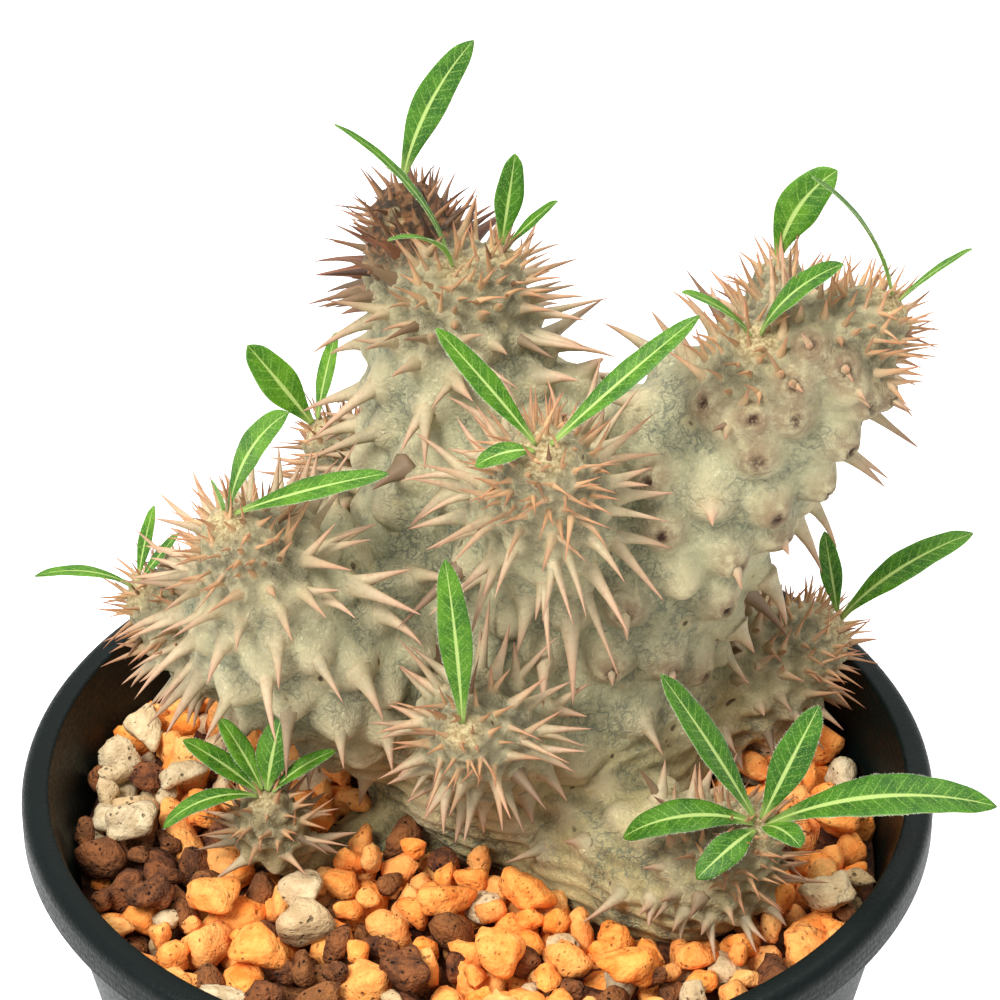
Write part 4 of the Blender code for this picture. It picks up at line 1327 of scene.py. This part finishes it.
def make_grit():
    """Loose grains of each kind as one piece, laid round the stem and kept clear of the larger stones."""
    rng = np.random.default_rng(23)
    grains = drop_grains(rng)
    for _, _, middle, half in cad_stones():
        gap = np.linalg.norm(grains[:, :3] - middle, axis=1)
        grains = grains[gap > 0.72 * half.mean() + 0.72 * grains[:, 3]]
    laterite = patched(grains[:, 0], grains[:, 1], LATERITE_SHARE, LATERITE_PATCHES)
    pumice = patched(grains[:, 0], grains[:, 1], PUMICE_SHARE, PUMICE_PATCHES)
    draw = rng.random(len(grains))
    kind = np.where(draw < laterite, "laterite", np.where(draw < laterite + pumice, "pumice", "akadama"))
    for name, material in STONE_MATERIALS.items():
        own = grains[kind == name]
        squash = rng.uniform(0.78, 1.22, (len(own), 3)) * own[:, 3:] * 1.12
        points, faces, each = chips(GRAIN_FACE_STEPS, own[:, :3], squash, rng)
        inside = (inner_radius(points[:, 2]) - 0.3 * MM) / np.hypot(points[:, 0], points[:, 1])
        points[:, :2] *= np.minimum(inside, 1)[:, None]
        mesh = mesh_of(name + "_grains", points, faces)
        give(mesh, "tone", np.repeat(rng.random(len(own)) ** 1.5, each))
        mesh.materials.append(material)
        piece = place(name + "_grains", mesh)
        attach(piece, "root")
        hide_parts("potting_mix")


def make_stones():
    """The larger loose stones, each in its CAD stone's box: chips with a finer, rougher surface."""
    for number, (node, kind, middle, half) in enumerate(cad_stones()):
        rng = np.random.default_rng(300 + number)
        shape = (STONE_SHARPNESS, STONE_PLANES)
        points, faces, _ = chips(STONE_FACE_STEPS, middle[None], half[None], rng, *shape)
        coarse, fine = value_noise(points, 1.6 * MM, number), value_noise(points, 0.7 * MM, number + 9)
        points += unit(points - middle) * ((coarse * 0.16 + fine * 0.08) * MM)[:, None]
        low, high = points.min(axis=0), points.max(axis=0)
        points = middle + (points - (low + high) / 2) * (2 * half / (high - low))
        mesh = mesh_of(node, points, faces)
        give(mesh, "tone", np.full(len(points), 0.35 * rng.random()))
        mesh.materials.append(STONE_MATERIALS[kind])
        stone = place(node + "_chip", mesh)
        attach(stone, "root")
        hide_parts(node)


def make_fill():
    """The dark bed under the loose grains: a bumpy disc, turned down along the pot's inside to its floor."""
    top = GRAIN_BED + 1.2 * MM
    bottom = FLOOR + CHANNEL_DEPTH + 0.4 * MM
    down_wall = np.concatenate(([top], np.linspace(top - MM, bottom, 8)))
    wall = inner_radius(down_wall) - 0.4 * MM
    across = np.linspace(4 * MM, wall[0], 14)[:-1]
    radii = np.concatenate((across, wall))
    heights = np.concatenate((np.full(len(across), top), down_wall))
    points, faces = turned(np.stack((radii, heights), -1)[::-1], 96)
    uneven = value_noise(points, 3 * MM, 4.4) * (points[:, 2] > top - 0.5 * MM)
    points[:, 2] += uneven * 0.9 * MM
    mesh = mesh_of("mix_bed", points, faces)
    give(mesh, "tone", np.full(len(points), 0.3))
    mesh.materials.append(FILL)
    bed = place("mix_bed", mesh)
    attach(bed, "root")
    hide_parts("potting_mix")


# ---------------------------------------------------------------- stage


def make_floor():
    """A wide pale floor that fades to white, with the faintest unevenness."""
    half = FLOOR_HALF_WIDTH
    points = np.array([(-half, -half, 0), (half, -half, 0), (half, half, 0), (-half, half, 0)])
    floor = place("floor", mesh_of("floor", points, [(0, 1, 2, 3)], False))
    material, tree, shader = new_material("white_sweep")
    tone = clouds(tree, place_on_piece(tree), 0.2, 2.0)
    feeds = {
        "Base Color": mix(tree, tone, (0.93, 0.93, 0.93, 1), (0.95, 0.95, 0.95, 1)),
        "Roughness": 0.9,
        "Emission Color": (1, 1, 1, 1),
        "Emission Strength": 0.35,
    }
    feed(tree, shader, feeds)
    floor.data.materials.append(material)


def add_lamp(name, place_at, size, power):
    """A round lamp of this size and power in watts, aimed at the middle of the plant."""
    lamp = bpy.data.lights.new(name, "AREA")
    lamp.shape = "DISK"
    lamp.size = size
    lamp.energy = power
    holder = place(name, lamp)
    holder.location = place_at
    aim = Vector(LAMP_AIM) - Vector(place_at)
    holder.rotation_euler = aim.to_track_quat("-Z", "Y").to_euler()


def make_studio():
    """A bright even sky, a soft lamp at the front left and a wide one overhead."""
    scene = bpy.context.scene
    scene.world = scene.world or bpy.data.worlds.new("studio")
    scene.world.use_nodes = True
    sky = scene.world.node_tree
    feed(sky, sky.nodes["Background"], {"Color": (1, 1, 1, 1), "Strength": SKY_STRENGTH})
    add_lamp("key", (-0.4, -0.5, 0.9), 0.4, 13)
    add_lamp("top", (0.15, 0.3, 1.1), 0.8, 7)
    scene.view_settings.view_transform = "Standard"


def make_camera():
    """Looks down at the crown of the plant from the front, close enough that the nearer parts look larger."""
    pitch = CAMERA_PITCH * DEG
    camera = bpy.data.cameras.new("camera")
    camera.sensor_width = 36
    camera.lens = CAMERA_LENS
    camera.clip_start = 0.01
    holder = place("camera", camera)
    back = np.array((0, -math.cos(pitch), math.sin(pitch)))
    holder.location = np.array(CAMERA_AIM) + CAMERA_DISTANCE * back
    holder.rotation_euler = (math.pi / 2 - pitch, 0, 0)
    bpy.context.scene.camera = holder


make_camera()
make_studio()
make_floor()
make_pot()
make_caudex()
for number, node in enumerate(sorted(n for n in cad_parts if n.startswith("leaf_"))):
    make_leaf(node, number)
make_fill()
make_grit()
make_stones()

bpy.context.view_layer.update()
